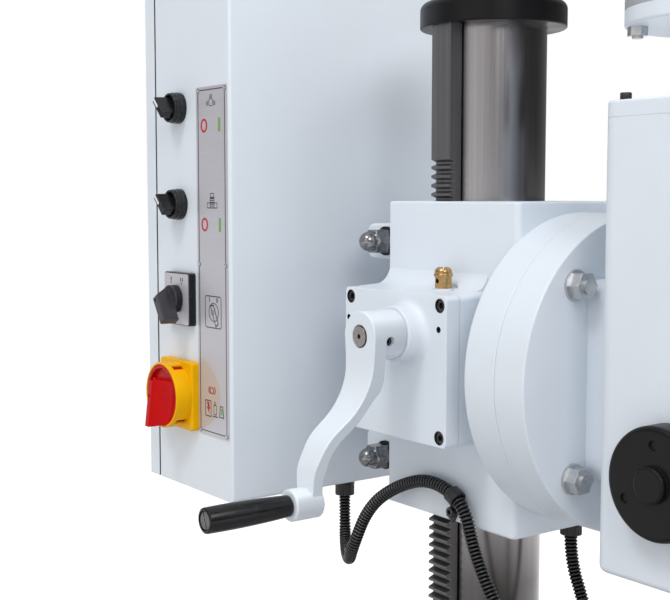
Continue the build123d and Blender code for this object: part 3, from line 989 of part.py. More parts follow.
# depth stop: collar on the quill nose, upright rod with two nuts
with BuildPart() as depth_stop:
    cz(47, 0, SP_Y, ZC - 322, ZC - 302)
    bx(-9, 9, HEAD_YF - 30, SP_Y - 30, ZC - 322, ZC - 302)
    fillet(depth_stop.edges().filter_by(Axis.Z), 4)
    cz(QUILL_R, 0, SP_Y, ZC - 330, ZC - 290, Mode.SUBTRACT)
    cz(6, 0, HEAD_YF - 18, ZC - 303, ZC - 70)
    hex_z(19, 0, HEAD_YF - 18, ZC - 92, ZC - 84)
    hex_z(19, 0, HEAD_YF - 18, ZC - 80, ZC - 72)
save(depth_stop, "depth_stop")
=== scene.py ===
import math

import bmesh
import bpy
from mathutils import Matrix, Vector


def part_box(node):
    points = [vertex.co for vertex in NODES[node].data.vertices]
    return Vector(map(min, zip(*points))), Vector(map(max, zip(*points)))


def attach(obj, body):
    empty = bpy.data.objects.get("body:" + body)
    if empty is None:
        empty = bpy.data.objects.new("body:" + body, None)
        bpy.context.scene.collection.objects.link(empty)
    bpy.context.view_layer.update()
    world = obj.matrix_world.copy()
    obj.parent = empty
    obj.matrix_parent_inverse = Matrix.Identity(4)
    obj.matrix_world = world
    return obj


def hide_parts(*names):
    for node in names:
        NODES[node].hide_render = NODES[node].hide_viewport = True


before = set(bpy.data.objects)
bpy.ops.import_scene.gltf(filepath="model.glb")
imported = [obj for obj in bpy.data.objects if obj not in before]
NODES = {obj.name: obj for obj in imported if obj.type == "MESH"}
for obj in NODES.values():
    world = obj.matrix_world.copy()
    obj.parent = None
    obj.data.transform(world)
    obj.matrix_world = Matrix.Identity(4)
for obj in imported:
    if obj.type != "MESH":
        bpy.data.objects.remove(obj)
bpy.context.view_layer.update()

scene = bpy.context.scene

# ------------------------------------------------------------------ camera
cam_data = bpy.data.cameras.new("camera")
cam_data.sensor_width = 36.0
cam_data.lens = 64.94
cam_data.clip_start = 0.02
cam_data.clip_end = 60.0
camera = bpy.data.objects.new("camera", cam_data)
camera.location = (-0.7567, -0.8004, 1.00467)
camera.rotation_euler = (math.radians(90.0 - 4.93), 0.0, math.radians(-36.045))
scene.collection.objects.link(camera)
scene.camera = camera
scene.view_settings.view_transform = "Standard"
scene.view_settings.look = "None"


# ------------------------------------------------------------- mesh helpers
def add_mesh(name, bm, material, body, smooth=False):
    """Turns a bmesh into a piece that rides on a body."""
    bmesh.ops.recalc_face_normals(bm, faces=bm.faces)
    mesh = bpy.data.meshes.new(name)
    bm.to_mesh(mesh)
    bm.free()
    if smooth:
        mesh.polygons.foreach_set("use_smooth", [True] * len(mesh.polygons))
    obj = bpy.data.objects.new(name, mesh)
    scene.collection.objects.link(obj)
    obj.data.materials.append(material)
    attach(obj, body)
    return obj


def prism(bm, outline, place, depth):
    """Closed prism of a flat outline; place(u, v, d) gives the point in the row frame."""
    near = [bm.verts.new(place(u, v, depth)) for u, v in outline]
    far = [bm.verts.new(place(u, v, 0.0)) for u, v in outline]
    n = len(outline)
    bm.faces.new(near)
    bm.faces.new(far[::-1])
    for i in range(n):
        j = (i + 1) % n
        bm.faces.new((near[i], far[i], far[j], near[j]))


def band(bm, outer, inner, place, depth):
    """Closed prism between an outer and an inner outline of equal count."""
    n = len(outer)
    no = [bm.verts.new(place(u, v, depth)) for u, v in outer]
    ni = [bm.verts.new(place(u, v, depth)) for u, v in inner]
    fo = [bm.verts.new(place(u, v, 0.0)) for u, v in outer]
    fi = [bm.verts.new(place(u, v, 0.0)) for u, v in inner]
    for i in range(n):
        j = (i + 1) % n
        bm.faces.new((no[i], no[j], ni[j], ni[i]))
        bm.faces.new((fo[j], fo[i], fi[i], fi[j]))
        bm.faces.new((no[j], no[i], fo[i], fo[j]))
        bm.faces.new((ni[i], ni[j], fi[j], fi[i]))


def ellipse(cu, cv, ru, rv, n=48, start=0.0, end=360.0):
    full = abs(end - start) >= 360.0
    steps = n if full else n + 1
    return [
        (cu + ru * math.cos(math.radians(start + (end - start) * i / n)), cv + rv * math.sin(math.radians(start + (end - start) * i / n)))
        for i in range(steps)
    ]


def round_box(cu, cv, wu, wv, r, n=6):
    pts = []
    for sx, sy, a in ((1, 1, 0), (-1, 1, 90), (-1, -1, 180), (1, -1, 270)):
        for i in range(n + 1):
            t = math.radians(a + 90.0 * i / n)
            pts.append((cu + sx * (wu / 2 - r) + r * math.cos(t), cv + sy * (wv / 2 - r) + r * math.sin(t)))
    return pts


# ---------------------------------------------------------------- materials
class Shade:
    """A principled material with its colour, roughness and bump made from nodes in object space."""

    def __init__(self, name, colour, rough, metal=0.0, **sockets):
        self.mat = bpy.data.materials.new(name)
        self.mat.use_nodes = True
        self.tree = self.mat.node_tree
        self.tree.nodes.clear()
        self.out = self.node("OutputMaterial")
        self.bsdf = self.node("BsdfPrincipled")
        self.join(self.bsdf.outputs["BSDF"], self.out.inputs["Surface"])
        self.coord = self.node("TexCoord").outputs["Object"]
        self.bsdf.inputs["Base Color"].default_value = (*colour, 1.0)
        self.bsdf.inputs["Roughness"].default_value = rough
        self.bsdf.inputs["Metallic"].default_value = metal
        for key, value in sockets.items():
            self.bsdf.inputs[key.replace("_", " ")].default_value = value
        self.mat.diffuse_color = (*colour, 1.0)
        self.colour = (*colour, 1.0)

    def node(self, kind, **props):
        made = self.tree.nodes.new("ShaderNode" + kind)
        for key, value in props.items():
            setattr(made, key, value)
        return made

    def join(self, a, b):
        self.tree.links.new(a, b)

    def put(self, socket, value):
        if isinstance(value, bpy.types.NodeSocket):
            self.join(value, socket)
        elif isinstance(value, tuple) and len(value) == 3 and socket.type == "RGBA":
            socket.default_value = (*value, 1.0)
        else:
            socket.default_value = value

    def stretched(self, scale):
        m = self.node("Mapping")
        m.inputs["Scale"].default_value = scale
        self.join(self.coord, m.inputs["Vector"])
        return m.outputs["Vector"]

    def noise(self, scale, detail=3.0, rough=0.55, stretch=None, distort=0.0):
        t = self.node("TexNoise")
        t.inputs["Scale"].default_value = scale
        t.inputs["Detail"].default_value = detail
        t.inputs["Roughness"].default_value = rough
        t.inputs["Distortion"].default_value = distort
        self.join(self.stretched(stretch) if stretch else self.coord, t.inputs["Vector"])
        return t.outputs["Fac"]

    def voronoi(self, scale, stretch=None, feature="F1"):
        t = self.node("TexVoronoi", feature=feature)
        t.inputs["Scale"].default_value = scale
        self.join(self.stretched(stretch) if stretch else self.coord, t.inputs["Vector"])
        return t.outputs["Distance"]

    def ramp(self, fac, a, b, lo=0.0, hi=1.0):
        r = self.node("MapRange", clamp=True)
        for key, value in (("From Min", a), ("From Max", b), ("To Min", lo), ("To Max", hi)):
            r.inputs[key].default_value = value
        self.join(fac, r.inputs["Value"])
        return r.outputs["Result"]

    def math(self, op, a, b=0.0):
        m = self.node("Math", operation=op)
        self.put(m.inputs[0], a)
        self.put(m.inputs[1], b)
        return m.outputs[0]

    def mix(self, fac, a, b):
        m = self.node("Mix", data_type="RGBA")
        self.put(m.inputs["Factor"], fac)
        self.put(m.inputs[6], a)
        self.put(m.inputs[7], b)
        return m.outputs[2]

    def base(self, socket):
        self.join(socket, self.bsdf.inputs["Base Color"])

    def rough(self, fac, lo, hi, a=0.3, b=0.7):
        self.join(self.ramp(fac, a, b, lo, hi), self.bsdf.inputs["Roughness"])

    def soft_edge(self, radius, samples=4):
        v = self.node("Bevel", samples=samples)
        v.inputs["Radius"].default_value = radius
        return v.outputs["Normal"]

    def edge_mask(self, radius, samples=4):
        """1 along convex and concave edges, 0 on open faces."""
        v = self.node("Bevel", samples=samples)
        v.inputs["Radius"].default_value = radius
        g = self.node("NewGeometry")
        d = self.node("VectorMath", operation="DOT_PRODUCT")
        self.join(v.outputs["Normal"], d.inputs[0])
        self.join(g.outputs["Normal"], d.inputs[1])
        return self.ramp(d.outputs["Value"], 0.995, 0.86, 0.0, 1.0)

    def bump(self, *layers, normal=None):
        """Layers are (height, strength, distance)."""
        for height, strength, distance in layers:
            b = self.node("Bump")
            b.inputs["Strength"].default_value = strength
            b.inputs["Distance"].default_value = distance
            self.join(height, b.inputs["Height"])
            if normal is not None:
                self.join(normal, b.inputs["Normal"])
            normal = b.outputs["Normal"]
        self.join(normal, self.bsdf.inputs["Normal"])


PAINT = (0.745, 0.804, 0.875)


def dimmed(c, k, warm=0.0):
    return (c[0] * k * (1 + warm), c[1] * k, c[2] * k * (1 - warm))


def painted(name, peel, peel_strength, wave_strength, rough, edge, grime=0.10):
    s = Shade(name, PAINT, rough)
    cloud = s.noise(5.5, 4.0)
    patch = s.noise(38.0, 3.0)
    tone = s.mix(s.ramp(cloud, 0.35, 0.68), dimmed(PAINT, 0.972, 0.006), dimmed(PAINT, 1.012))
    tone = s.mix(s.ramp(patch, 0.52, 0.80, 0.0, 0.35), tone, dimmed(PAINT, 0.955, 0.010))
    specks = s.ramp(s.noise(420.0, 2.0), 0.70, 0.78, 0.0, grime)
    tone = s.mix(specks, tone, (0.36, 0.36, 0.36))
    # painted highlight: edges lightened towards near-white, broken up by noise
    rim = s.edge_mask(edge * 1.6)
    edge_highlight = s.math("MULTIPLY", rim, s.ramp(s.noise(160.0, 4.0), 0.50, 0.72))
    tone = s.mix(s.math("MULTIPLY", edge_highlight, 0.30), tone, (0.86, 0.88, 0.90))
    s.base(tone)
    s.rough(s.noise(70.0, 4.0), rough - 0.05, rough + 0.09)
    s.bump(
        (s.noise(26.0, 2.0), wave_strength, 0.0012),
        (s.noise(peel, 2.0), peel_strength, 0.00022),
        normal=s.soft_edge(edge),
    )
    return s


def make_materials():
    made = {}

    made["cast_paint"] = painted("paint_on_casting", 620.0, 0.16, 0.10, 0.37, 0.0011).mat
    made["sheet_paint"] = painted("paint_on_sheet", 1150.0, 0.10, 0.03, 0.33, 0.0009, 0.06).mat

    # ground column: fine rings from grinding, patchy oil film, long vertical slide marks; painted shade darkens it
    # below the carriage, and a painted dark reflection darkens its +X-Y flank above that
    s = Shade("ground_steel", (0.40, 0.385, 0.40), 0.22, 1.0)
    rings = s.noise(1.0, 4.0, 0.7, (30.0, 30.0, 2600.0))
    slide = s.noise(1.0, 5.0, 0.62, (150.0, 150.0, 1.1))
    oil_film_and_painted_reflection = s.noise(7.0, 4.0)
    tone = s.mix(s.ramp(slide, 0.34, 0.68), (0.360, 0.342, 0.352), (0.440, 0.425, 0.440))
    tone = s.mix(s.ramp(oil_film_and_painted_reflection, 0.50, 0.75, 0.0, 0.35), tone, (0.36, 0.325, 0.315))
    tone = s.mix(s.ramp(rings, 0.55, 0.80, 0.0, 0.20), tone, (0.28, 0.27, 0.275))
    height = s.node("SeparateXYZ")
    s.join(s.coord, height.inputs[0])
    # painted shade: darker towards the bottom, below the carriage
    shade_below_carriage = s.math("MULTIPLY", s.ramp(height.outputs["Z"], 0.74, 0.66), s.ramp(s.noise(9.0, 4.0), 0.25, 0.60, 0.75, 1.0))
    shaded_flank = s.node("VectorMath", operation="DOT_PRODUCT")
    s.join(s.coord, shaded_flank.inputs[0])
    shaded_flank.inputs[1].default_value = (0.85, -0.53, 0.0)
    # the painted shade below the carriage is strongest in the bands facing -X-Y and +X+Y
    shade_band = s.math("MULTIPLY", s.ramp(shaded_flank.outputs["Value"], -0.016, -0.006), s.ramp(shaded_flank.outputs["Value"], 0.019, 0.010))
    shade_below_carriage = s.math("MULTIPLY", shade_below_carriage, s.ramp(shade_band, 0.0, 1.0, 0.66, 0.92))
    tone = s.mix(shade_below_carriage, tone, (0.060, 0.053, 0.051))
    # painted dark reflection on the +X-Y flank, above the carriage
    oil_film_and_painted_reflection = s.math("MULTIPLY", s.ramp(shaded_flank.outputs["Value"], 0.0060, 0.0155), s.ramp(slide, 0.25, 0.60, 0.75, 1.0))
    oil_film_and_painted_reflection = s.math("MULTIPLY", oil_film_and_painted_reflection, s.ramp(height.outputs["Z"], 0.70, 0.745))
    tone = s.mix(s.math("MULTIPLY", oil_film_and_painted_reflection, 0.80), tone, (0.085, 0.080, 0.082))
    s.base(tone)
    s.rough(slide, 0.19, 0.27)
    s.bump((rings, 0.10, 0.00005), (slide, 0.05, 0.00006))
    made["ground_steel"] = s.mat

    # rack: milled and oily, with a painted highlight lightening its edges
    s = Shade("rack_steel", (0.24, 0.23, 0.23), 0.40, 0.80)
    mill = s.noise(1.0, 4.0, 0.65, (900.0, 60.0, 900.0))
    drag = s.noise(1.0, 4.0, 0.6, (300.0, 300.0, 3.0))
    grain = s.noise(950.0, 4.0, 0.7)
    tone = s.mix(s.ramp(drag, 0.34, 0.70), (0.135, 0.130, 0.132), (0.180, 0.174, 0.176))
    tone = s.mix(s.ramp(grain, 0.52, 0.70, 0.0, 0.45), tone, (0.085, 0.076, 0.070))
    # painted highlight: lighter edges
    tone = s.mix(s.math("MULTIPLY", s.edge_mask(0.0006), 0.40), tone, (0.40, 0.39, 0.385))
    s.base(tone)
    s.rough(grain, 0.32, 0.50)
    s.bump((mill, 0.14, 0.00010), (grain, 0.20, 0.00009), normal=s.soft_edge(0.0004))
    made["rack_steel"] = s.mat

    s = Shade("bright_steel", (0.74, 0.74, 0.75), 0.13, 1.0)
    smear = s.noise(60.0, 5.0, 0.65, None, 0.6)
    turn = s.noise(1.0, 3.0, 0.6, (1400.0, 90.0, 90.0))
    tone = s.mix(s.ramp(smear, 0.38, 0.66), (0.44, 0.43, 0.43), (0.60, 0.595, 0.60))
    tone = s.mix(s.ramp(s.noise(900.0, 3.0), 0.64, 0.76, 0.0, 0.5), tone, (0.25, 0.23, 0.22))
    s.base(tone)
    s.rough(smear, 0.10, 0.26)
    s.bump((turn, 0.06, 0.00005), normal=s.soft_edge(0.0004))
    made["bright_steel"] = s.mat

    s = Shade("zinc_steel", (0.58, 0.59, 0.60), 0.34, 1.0)
    spangle = s.voronoi(260.0)
    cloud = s.noise(120.0, 4.0)
    tone = s.mix(s.ramp(spangle, 0.1, 0.8), (0.53, 0.54, 0.55), (0.61, 0.615, 0.62))
    tone = s.mix(s.ramp(cloud, 0.55, 0.78, 0.0, 0.3), tone, (0.47, 0.46, 0.44))
    s.base(tone)
    s.rough(cloud, 0.30, 0.42)
    s.bump((s.noise(700.0, 3.0), 0.07, 0.00006), normal=s.soft_edge(0.0005))
    made["zinc_steel"] = s.mat

    s = Shade("dark_steel", (0.055, 0.054, 0.056), 0.38, 0.75)
    cloud = s.noise(140.0, 5.0, 0.65)
    tone = s.mix(s.ramp(cloud, 0.36, 0.66), (0.040, 0.039, 0.041), (0.085, 0.080, 0.078))
    tone = s.mix(s.math("MULTIPLY", s.edge_mask(0.0006), s.ramp(s.noise(500.0, 3.0), 0.45, 0.62, 0.0, 0.7)), tone, (0.36, 0.35, 0.34))
    s.base(tone)
    s.rough(cloud, 0.28, 0.50)
    s.bump((s.noise(1100.0, 3.0), 0.12, 0.00006), normal=s.soft_edge(0.0003))
    made["dark_steel"] = s.mat

    s = Shade("brass", (0.56, 0.36, 0.17), 0.27, 1.0)
    cloud = s.noise(190.0, 5.0, 0.62)
    tone = s.mix(s.ramp(cloud, 0.35, 0.66), (0.40, 0.235, 0.095), (0.60, 0.39, 0.18))
    tone = s.mix(s.math("MULTIPLY", s.edge_mask(0.0005), 0.35), tone, (0.78, 0.58, 0.34))
    s.base(tone)
    s.rough(cloud, 0.18, 0.36)
    s.bump((s.noise(1.0, 3.0, 0.6, (160.0, 160.0, 2200.0)), 0.10, 0.00006), normal=s.soft_edge(0.0003))
    made["brass"] = s.mat

    s = Shade("black_satin", (0.006, 0.006, 0.007), 0.34, Specular_IOR_Level=0.20)
    cloud = s.noise(45.0, 4.0)
    s.base(s.mix(s.ramp(cloud, 0.35, 0.70), (0.005, 0.005, 0.006), (0.008, 0.008, 0.009)))
    s.rough(cloud, 0.29, 0.40)
    s.bump((s.noise(1000.0, 2.0), 0.16, 0.00016), normal=s.soft_edge(0.0009))
    made["black_satin"] = s.mat

    s = Shade("black_plastic", (0.007, 0.007, 0.008), 0.28, Specular_IOR_Level=0.40)
    cloud = s.noise(85.0, 4.0)
    tone = s.mix(s.ramp(cloud, 0.36, 0.70), (0.006, 0.006, 0.007), (0.010, 0.010, 0.011))
    # painted highlight: lighter edges
    tone = s.mix(s.math("MULTIPLY", s.edge_mask(0.0007), 0.60), tone, (0.15, 0.145, 0.155))
    s.base(tone)
    s.rough(cloud, 0.20, 0.32)
    s.bump((s.noise(1700.0, 2.0), 0.14, 0.00010), normal=s.soft_edge(0.0006))
    made["black_plastic"] = s.mat

    s = Shade("black_gloss", (0.006, 0.006, 0.007), 0.16, Specular_IOR_Level=0.36)
    cloud = s.noise(120.0, 5.0, 0.62)
    s.base(s.mix(s.ramp(cloud, 0.40, 0.72), (0.005, 0.005, 0.006), (0.010, 0.010, 0.010)))
    s.rough(cloud, 0.14, 0.28)
    s.bump((s.noise(1.0, 4.0, 0.6, (140.0, 900.0, 900.0)), 0.05, 0.00006), normal=s.soft_edge(0.0005))
    made["black_gloss"] = s.mat

    s = Shade("black_rubber", (0.020, 0.020, 0.021), 0.55)
    cloud = s.noise(160.0, 4.0)
    s.base(s.mix(s.ramp(cloud, 0.38, 0.70), (0.016, 0.016, 0.017), (0.034, 0.033, 0.033)))
    s.rough(cloud, 0.42, 0.62)
    s.bump((s.noise(1500.0, 3.0), 0.22, 0.00012), normal=s.soft_edge(0.0005))
    made["black_rubber"] = s.mat

    s = Shade("grey_plastic", (0.36, 0.37, 0.39), 0.42)
    cloud = s.noise(70.0, 4.0)
    s.base(s.mix(s.ramp(cloud, 0.36, 0.68), (0.33, 0.34, 0.36), (0.40, 0.41, 0.43)))
    s.rough(cloud, 0.36, 0.50)
    s.bump((s.noise(1300.0, 2.0), 0.14, 0.00012), normal=s.soft_edge(0.0006))
    made["grey_plastic"] = s.mat

    s = Shade("yellow_plastic", (0.90, 0.47, 0.0015), 0.36, Specular_IOR_Level=0.10)
    cloud = s.noise(60.0, 4.0)
    tone = s.mix(s.ramp(cloud, 0.36, 0.68), (0.88, 0.455, 0.001), (0.93, 0.490, 0.002))
    tone = s.mix(s.ramp(s.noise(500.0, 2.0), 0.70, 0.78, 0.0, 0.25), tone, (0.40, 0.22, 0.02))
    s.base(tone)
    s.rough(cloud, 0.28, 0.42)
    s.bump((s.noise(1500.0, 2.0), 0.12, 0.00010), normal=s.soft_edge(0.0009))
    made["yellow_plastic"] = s.mat

    s = Shade("red_plastic", (0.55, 0.0040, 0.005), 0.32, Specular_IOR_Level=0.10)
    cloud = s.noise(75.0, 4.0)
    tone = s.mix(s.ramp(cloud, 0.36, 0.68), (0.52, 0.0040, 0.005), (0.59, 0.005, 0.006))
    tone = s.mix(s.math("MULTIPLY", s.edge_mask(0.0008), 0.25), tone, (0.75, 0.06, 0.05))
    s.base(tone)
    s.rough(cloud, 0.25, 0.38)
    s.bump((s.noise(1500.0, 2.0), 0.12, 0.00010), normal=s.soft_edge(0.0009))
    made["red_plastic"] = s.mat

    s = Shade("label_aluminium", (0.50, 0.50, 0.545), 0.40, 0.30)
    brush = s.noise(1.0, 5.0, 0.65, (600.0, 24.0, 1500.0))
    cloud = s.noise(18.0, 3.0)
    tone = s.mix(s.ramp(brush, 0.32, 0.70), (0.515, 0.513, 0.555), (0.565, 0.562, 0.610))
    tone = s.mix(s.ramp(cloud, 0.50, 0.80, 0.0, 0.30), tone, (0.49, 0.485, 0.52))
    s.base(tone)
    s.rough(brush, 0.33, 0.46)
    s.bump((brush, 0.06, 0.00005))
    made["label_aluminium"] = s.mat

    s = Shade("motor_aluminium", (0.52, 0.53, 0.55), 0.46, 0.55)
    cloud = s.noise(40.0, 4.0)
    sand = s.noise(700.0, 4.0, 0.65)
    tone = s.mix(s.ramp(cloud, 0.36, 0.68), (0.45, 0.46, 0.48), (0.56, 0.57, 0.59))
    tone = s.mix(s.ramp(sand, 0.60, 0.74, 0.0, 0.35), tone, (0.33, 0.33, 0.34))
    s.base(tone)
    s.rough(sand, 0.38, 0.56)
    s.bump((sand, 0.30, 0.00022), normal=s.soft_edge(0.0009))
    made["motor_aluminium"] = s.mat
    return made


MATS = make_materials()


def base_with_milled_pad():
    """Painted casting whose raised work surface is bare, milled iron."""
    s = painted("paint_on_base", 620.0, 0.16, 0.10, 0.40, 0.0014, 0.14)
    paint_tone = s.bsdf.inputs["Base Color"].links[0].from_socket
    paint_rough = s.bsdf.inputs["Roughness"].links[0].from_socket
    sep = s.node("SeparateXYZ")
    s.join(s.coord, sep.inputs[0])
    x, y, z = sep.outputs
    inside = s.math("MULTIPLY", s.math("LESS_THAN", s.math("ABSOLUTE", x), 0.1682), s.math("LESS_THAN", s.math("ABSOLUTE", s.math("ADD", y, 0.300)), 0.1745))
    inside = s.math("MULTIPLY", inside, s.math("GREATER_THAN", z, 0.0642))
    feed = s.node("TexWave", wave_type="RINGS", rings_direction="Z")
    feed.inputs["Scale"].default_value = 90.0
    feed.inputs["Distortion"].default_value = 0.4
    s.join(s.stretched((1.0, 0.0, 0.0)), feed.inputs["Vector"])
    mill = s.noise(1.0, 4.0, 0.65, (900.0, 24.0, 24.0))
    iron = s.mix(s.ramp(mill, 0.34, 0.68), (0.36, 0.355, 0.35), (0.54, 0.535, 0.53))
    iron = s.mix(s.ramp(s.noise(30.0, 5.0, 0.62), 0.55, 0.78, 0.0, 0.5), iron, (0.27, 0.25, 0.235))
    s.base(s.mix(inside, paint_tone, iron))
    rough = s.node("Mix", data_type="FLOAT")
    s.join(inside, rough.inputs["Factor"])
    s.join(paint_rough, rough.inputs[2])
    s.join(s.ramp(mill, 0.3, 0.7, 0.26, 0.42), rough.inputs[3])
    s.join(rough.outputs[0], s.bsdf.inputs["Roughness"])
    s.join(s.math("MULTIPLY", inside, 0.9), s.bsdf.inputs["Metallic"])
    return s.mat


BASE_PAINT = base_with_milled_pad()

for name, node in NODES.items():
    for i, slot in enumerate(node.material_slots):
        key = slot.material.name.split(".")[0]
        node.data.materials[i] = MATS[key]
NODES["base_plate"].data.materials[0] = BASE_PAINT


def near_line(s, sep, y, z, radius):
    """1 inside a cylinder along x."""
    dy, dz = s.math("SUBTRACT", sep.outputs[1], y), s.math("SUBTRACT", sep.outputs[2], z)
    away = s.math("SQRT", s.math("ADD", s.math("MULTIPLY", dy, dy), s.math("MULTIPLY", dz, dz)))
    return s.math("LESS_THAN", away, radius)


def object_axes(s):
    sep = s.node("SeparateXYZ")
    s.join(s.coord, sep.inputs[0])
    return sep


def cover_paint():
    """Casting paint, with painted shade darkening the walls of the dowel holes and screw counterbores."""
    s = painted("paint_on_cover", 620.0, 0.16, 0.10, 0.37, 0.0008)
    sep = object_axes(s)
    deep = s.math("GREATER_THAN", sep.outputs[0], -0.12285)
    hole_shade = s.math("ADD", near_line(s, sep, 0.0494, 0.8982, 0.00266), near_line(s, sep, -0.0705, 0.8975, 0.00266))
    for y in (0.0464, -0.0719):
        for z in (0.9169, 0.8096):
            hole_shade = s.math("ADD", hole_shade, near_line(s, sep, y, z, 0.00586))
    tone = s.bsdf.inputs["Base Color"].links[0].from_socket
    # painted shade on the hole walls below the cover's face
    s.base(s.mix(s.math("MULTIPLY", deep, s.math("MINIMUM", hole_shade, 1.0)), tone, (0.022, 0.022, 0.023)))
    return s.mat


def sheet_with_seam():
    """Sheet paint, with painted shade darkening the folds in the gap between cabinet and door."""
    s = painted("paint_on_cabinet", 1150.0, 0.10, 0.03, 0.33, 0.0009, 0.06)
    sep = object_axes(s)
    gap_shade = s.math("MULTIPLY", s.math("GREATER_THAN", sep.outputs[1], 0.27125), s.math("LESS_THAN", sep.outputs[1], 0.27385))
    tone = s.bsdf.inputs["Base Color"].links[0].from_socket
    # painted shade in the seam between cabinet and door
    s.base(s.mix(gap_shade, tone, (0.120, 0.130, 0.148)))
    return s.mat


def steel_with_edge_highlight(name, low, high, rough, edge=0.6):
    """Dull handled steel, with its edges lightened as a painted highlight."""
    s = Shade(name, high, rough, 1.0)
    cloud = s.noise(240.0, 5.0, 0.65, None, 0.5)
    tone = s.mix(s.ramp(cloud, 0.36, 0.66), low, high)
    tone = s.mix(s.ramp(s.noise(1300.0, 3.0), 0.60, 0.76, 0.0, 0.5), tone, dimmed(low, 0.5))
    # painted highlight along the edges
    tone = s.mix(s.math("MULTIPLY", s.edge_mask(0.0007), edge), tone, (0.80, 0.80, 0.80))
    s.base(tone)
    s.rough(cloud, rough - 0.07, rough + 0.10)
    s.bump((s.noise(900.0, 3.0), 0.12, 0.00008), normal=s.soft_edge(0.0005))
    return s


NUT_STEEL = steel_with_edge_highlight("nut_steel", (0.20, 0.20, 0.20), (0.36, 0.36, 0.365), 0.20).mat
PIN_STEEL = steel_with_edge_highlight("pin_steel", (0.10, 0.10, 0.105), (0.17, 0.17, 0.175), 0.34, 0.4).mat
s = steel_with_edge_highlight("shaft_steel", (0.27, 0.245, 0.235), (0.38, 0.35, 0.34), 0.38, 0.2)
sep = object_axes(s)
end = s.math("LESS_THAN", sep.outputs[0], -0.1700)
inner = s.math("MULTIPLY", end, near_line(s, sep, -0.0318, 0.892, 0.0021))
outer = s.math("MULTIPLY", end, s.math("SUBTRACT", 1.0, near_line(s, sep, -0.0318, 0.892, 0.0084)))
s.base(s.mix(s.math("MAXIMUM", inner, outer), s.bsdf.inputs["Base Color"].links[0].from_socket, (0.035, 0.030, 0.028)))
SHAFT_STEEL = s.mat
s = Shade("washer_black", (0.006, 0.006, 0.006), 0.36, 0.2, Specular_IOR_Level=0.3)
cloud = s.noise(180.0, 4.0)
s.base(s.mix(s.ramp(cloud, 0.35, 0.68), (0.004, 0.004, 0.004), (0.014, 0.013, 0.013)))
s.rough(cloud, 0.30, 0.48)
s.bump((s.noise(900.0, 3.0), 0.15, 0.00008), normal=s.soft_edge(0.0004))
WASHER_BLACK = s.mat
s = Shade("lever_grey", (0.050, 0.050, 0.057), 0.36, Specular_IOR_Level=0.40)
cloud = s.noise(85.0, 4.0)
tone = s.mix(s.ramp(cloud, 0.36, 0.70), (0.031, 0.031, 0.036), (0.045, 0.045, 0.052))
# painted highlight: lighter edges
tone = s.mix(s.math("MULTIPLY", s.edge_mask(0.0007), 0.5), tone, (0.20, 0.195, 0.21))
sep = object_axes(s)
s.base(s.mix(s.math("GREATER_THAN", sep.outputs[0], -0.2077), tone, (0.006, 0.006, 0.007)))
s.rough(cloud, 0.28, 0.42)
s.bump((s.noise(1700.0, 2.0), 0.14, 0.00010), normal=s.soft_edge(0.0006))
LEVER_GREY = s.mat


def crank_paint():
    """Casting paint with crisper edges, with painted shade on the flanks that face -Y."""
    s = painted("paint_on_crank", 620.0, 0.16, 0.10, 0.37, 0.0004)
    side = s.node("SeparateXYZ")
    s.join(s.node("TexCoord").outputs["Normal"], side.inputs[0])
    shaded_flank = s.ramp(s.math("MULTIPLY", side.outputs[1], -1.0), 0.72, 0.95, 0.0, 1.0)
    tone = s.bsdf.inputs["Base Color"].links[0].from_socket
    # painted shade: the -Y-facing flanks are dimmed
    s.base(s.mix(shaded_flank, tone, dimmed(PAINT, 0.74)))
    return s.mat


CABINET_PAINT = sheet_with_seam()
for name, material in (
    ("gearbox_cover", cover_paint()), ("cabinet_body", CABINET_PAINT), ("cabinet_door", CABINET_PAINT), ("dome_nuts", NUT_STEEL),
    ("clamp_washers", WASHER_BLACK), ("grip_pin", PIN_STEEL), ("worm_shaft", SHAFT_STEEL), ("cam_switch_handle", LEVER_GREY), ("crank_arm", crank_paint()),
):
    NODES[name].data.materials[0] = material

# ------------------------------------------------------------------ conduit
ROUTE = [
    (-0.053, 0.150, 0.709), (-0.053, 0.150, 0.6840), (-0.066, 0.1311, 0.6594), (-0.0831, 0.1022, 0.6576),
    (-0.0975, 0.0783, 0.6785), (-0.0922, 0.0597, 0.7222), (-0.0846, 0.0256, 0.7472), (-0.081, -0.0136, 0.7597),
    (-0.081, -0.0551, 0.7481), (-0.081, -0.0695, 0.7075), (-0.0776, -0.0894, 0.6696), (-0.0682, -0.1125, 0.6371),
    (-0.049, -0.1248, 0.6126), (-0.0171, -0.1267, 0.6057), (0.011, -0.1174, 0.6196), (0.0212, -0.1002, 0.6495),
    (0.020, -0.084, 0.6872), (0.020, -0.084, 0.710),
]
HOSE_R = 0.00575
HOSE_VALLEY = 0.00460
HOSE_PITCH = 0.0032


def spline_points(name, points):
    """Points along a smooth NURBS line whose control points are the route's."""
    curve = bpy.data.curves.new(name, "CURVE")
    curve.dimensions = "3D"
    curve.resolution_u = 40
    spline = curve.splines.new("NURBS")
    spline.points.add(len(points) - 1)
    for p, co in zip(spline.points, points):
        p.co = (*co, 1.0)
    spline.order_u = 3
    spline.use_endpoint_u = True
    obj = bpy.data.objects.new(name, curve)
    scene.collection.objects.link(obj)
    bpy.context.view_layer.update()
    mesh = bpy.data.meshes.new_from_object(obj.evaluated_get(bpy.context.evaluated_depsgraph_get()))
    line = [v.co.copy() for v in mesh.vertices]
    bpy.data.objects.remove(obj)
    bpy.data.curves.remove(curve)
    bpy.data.meshes.remove(mesh)
    return line


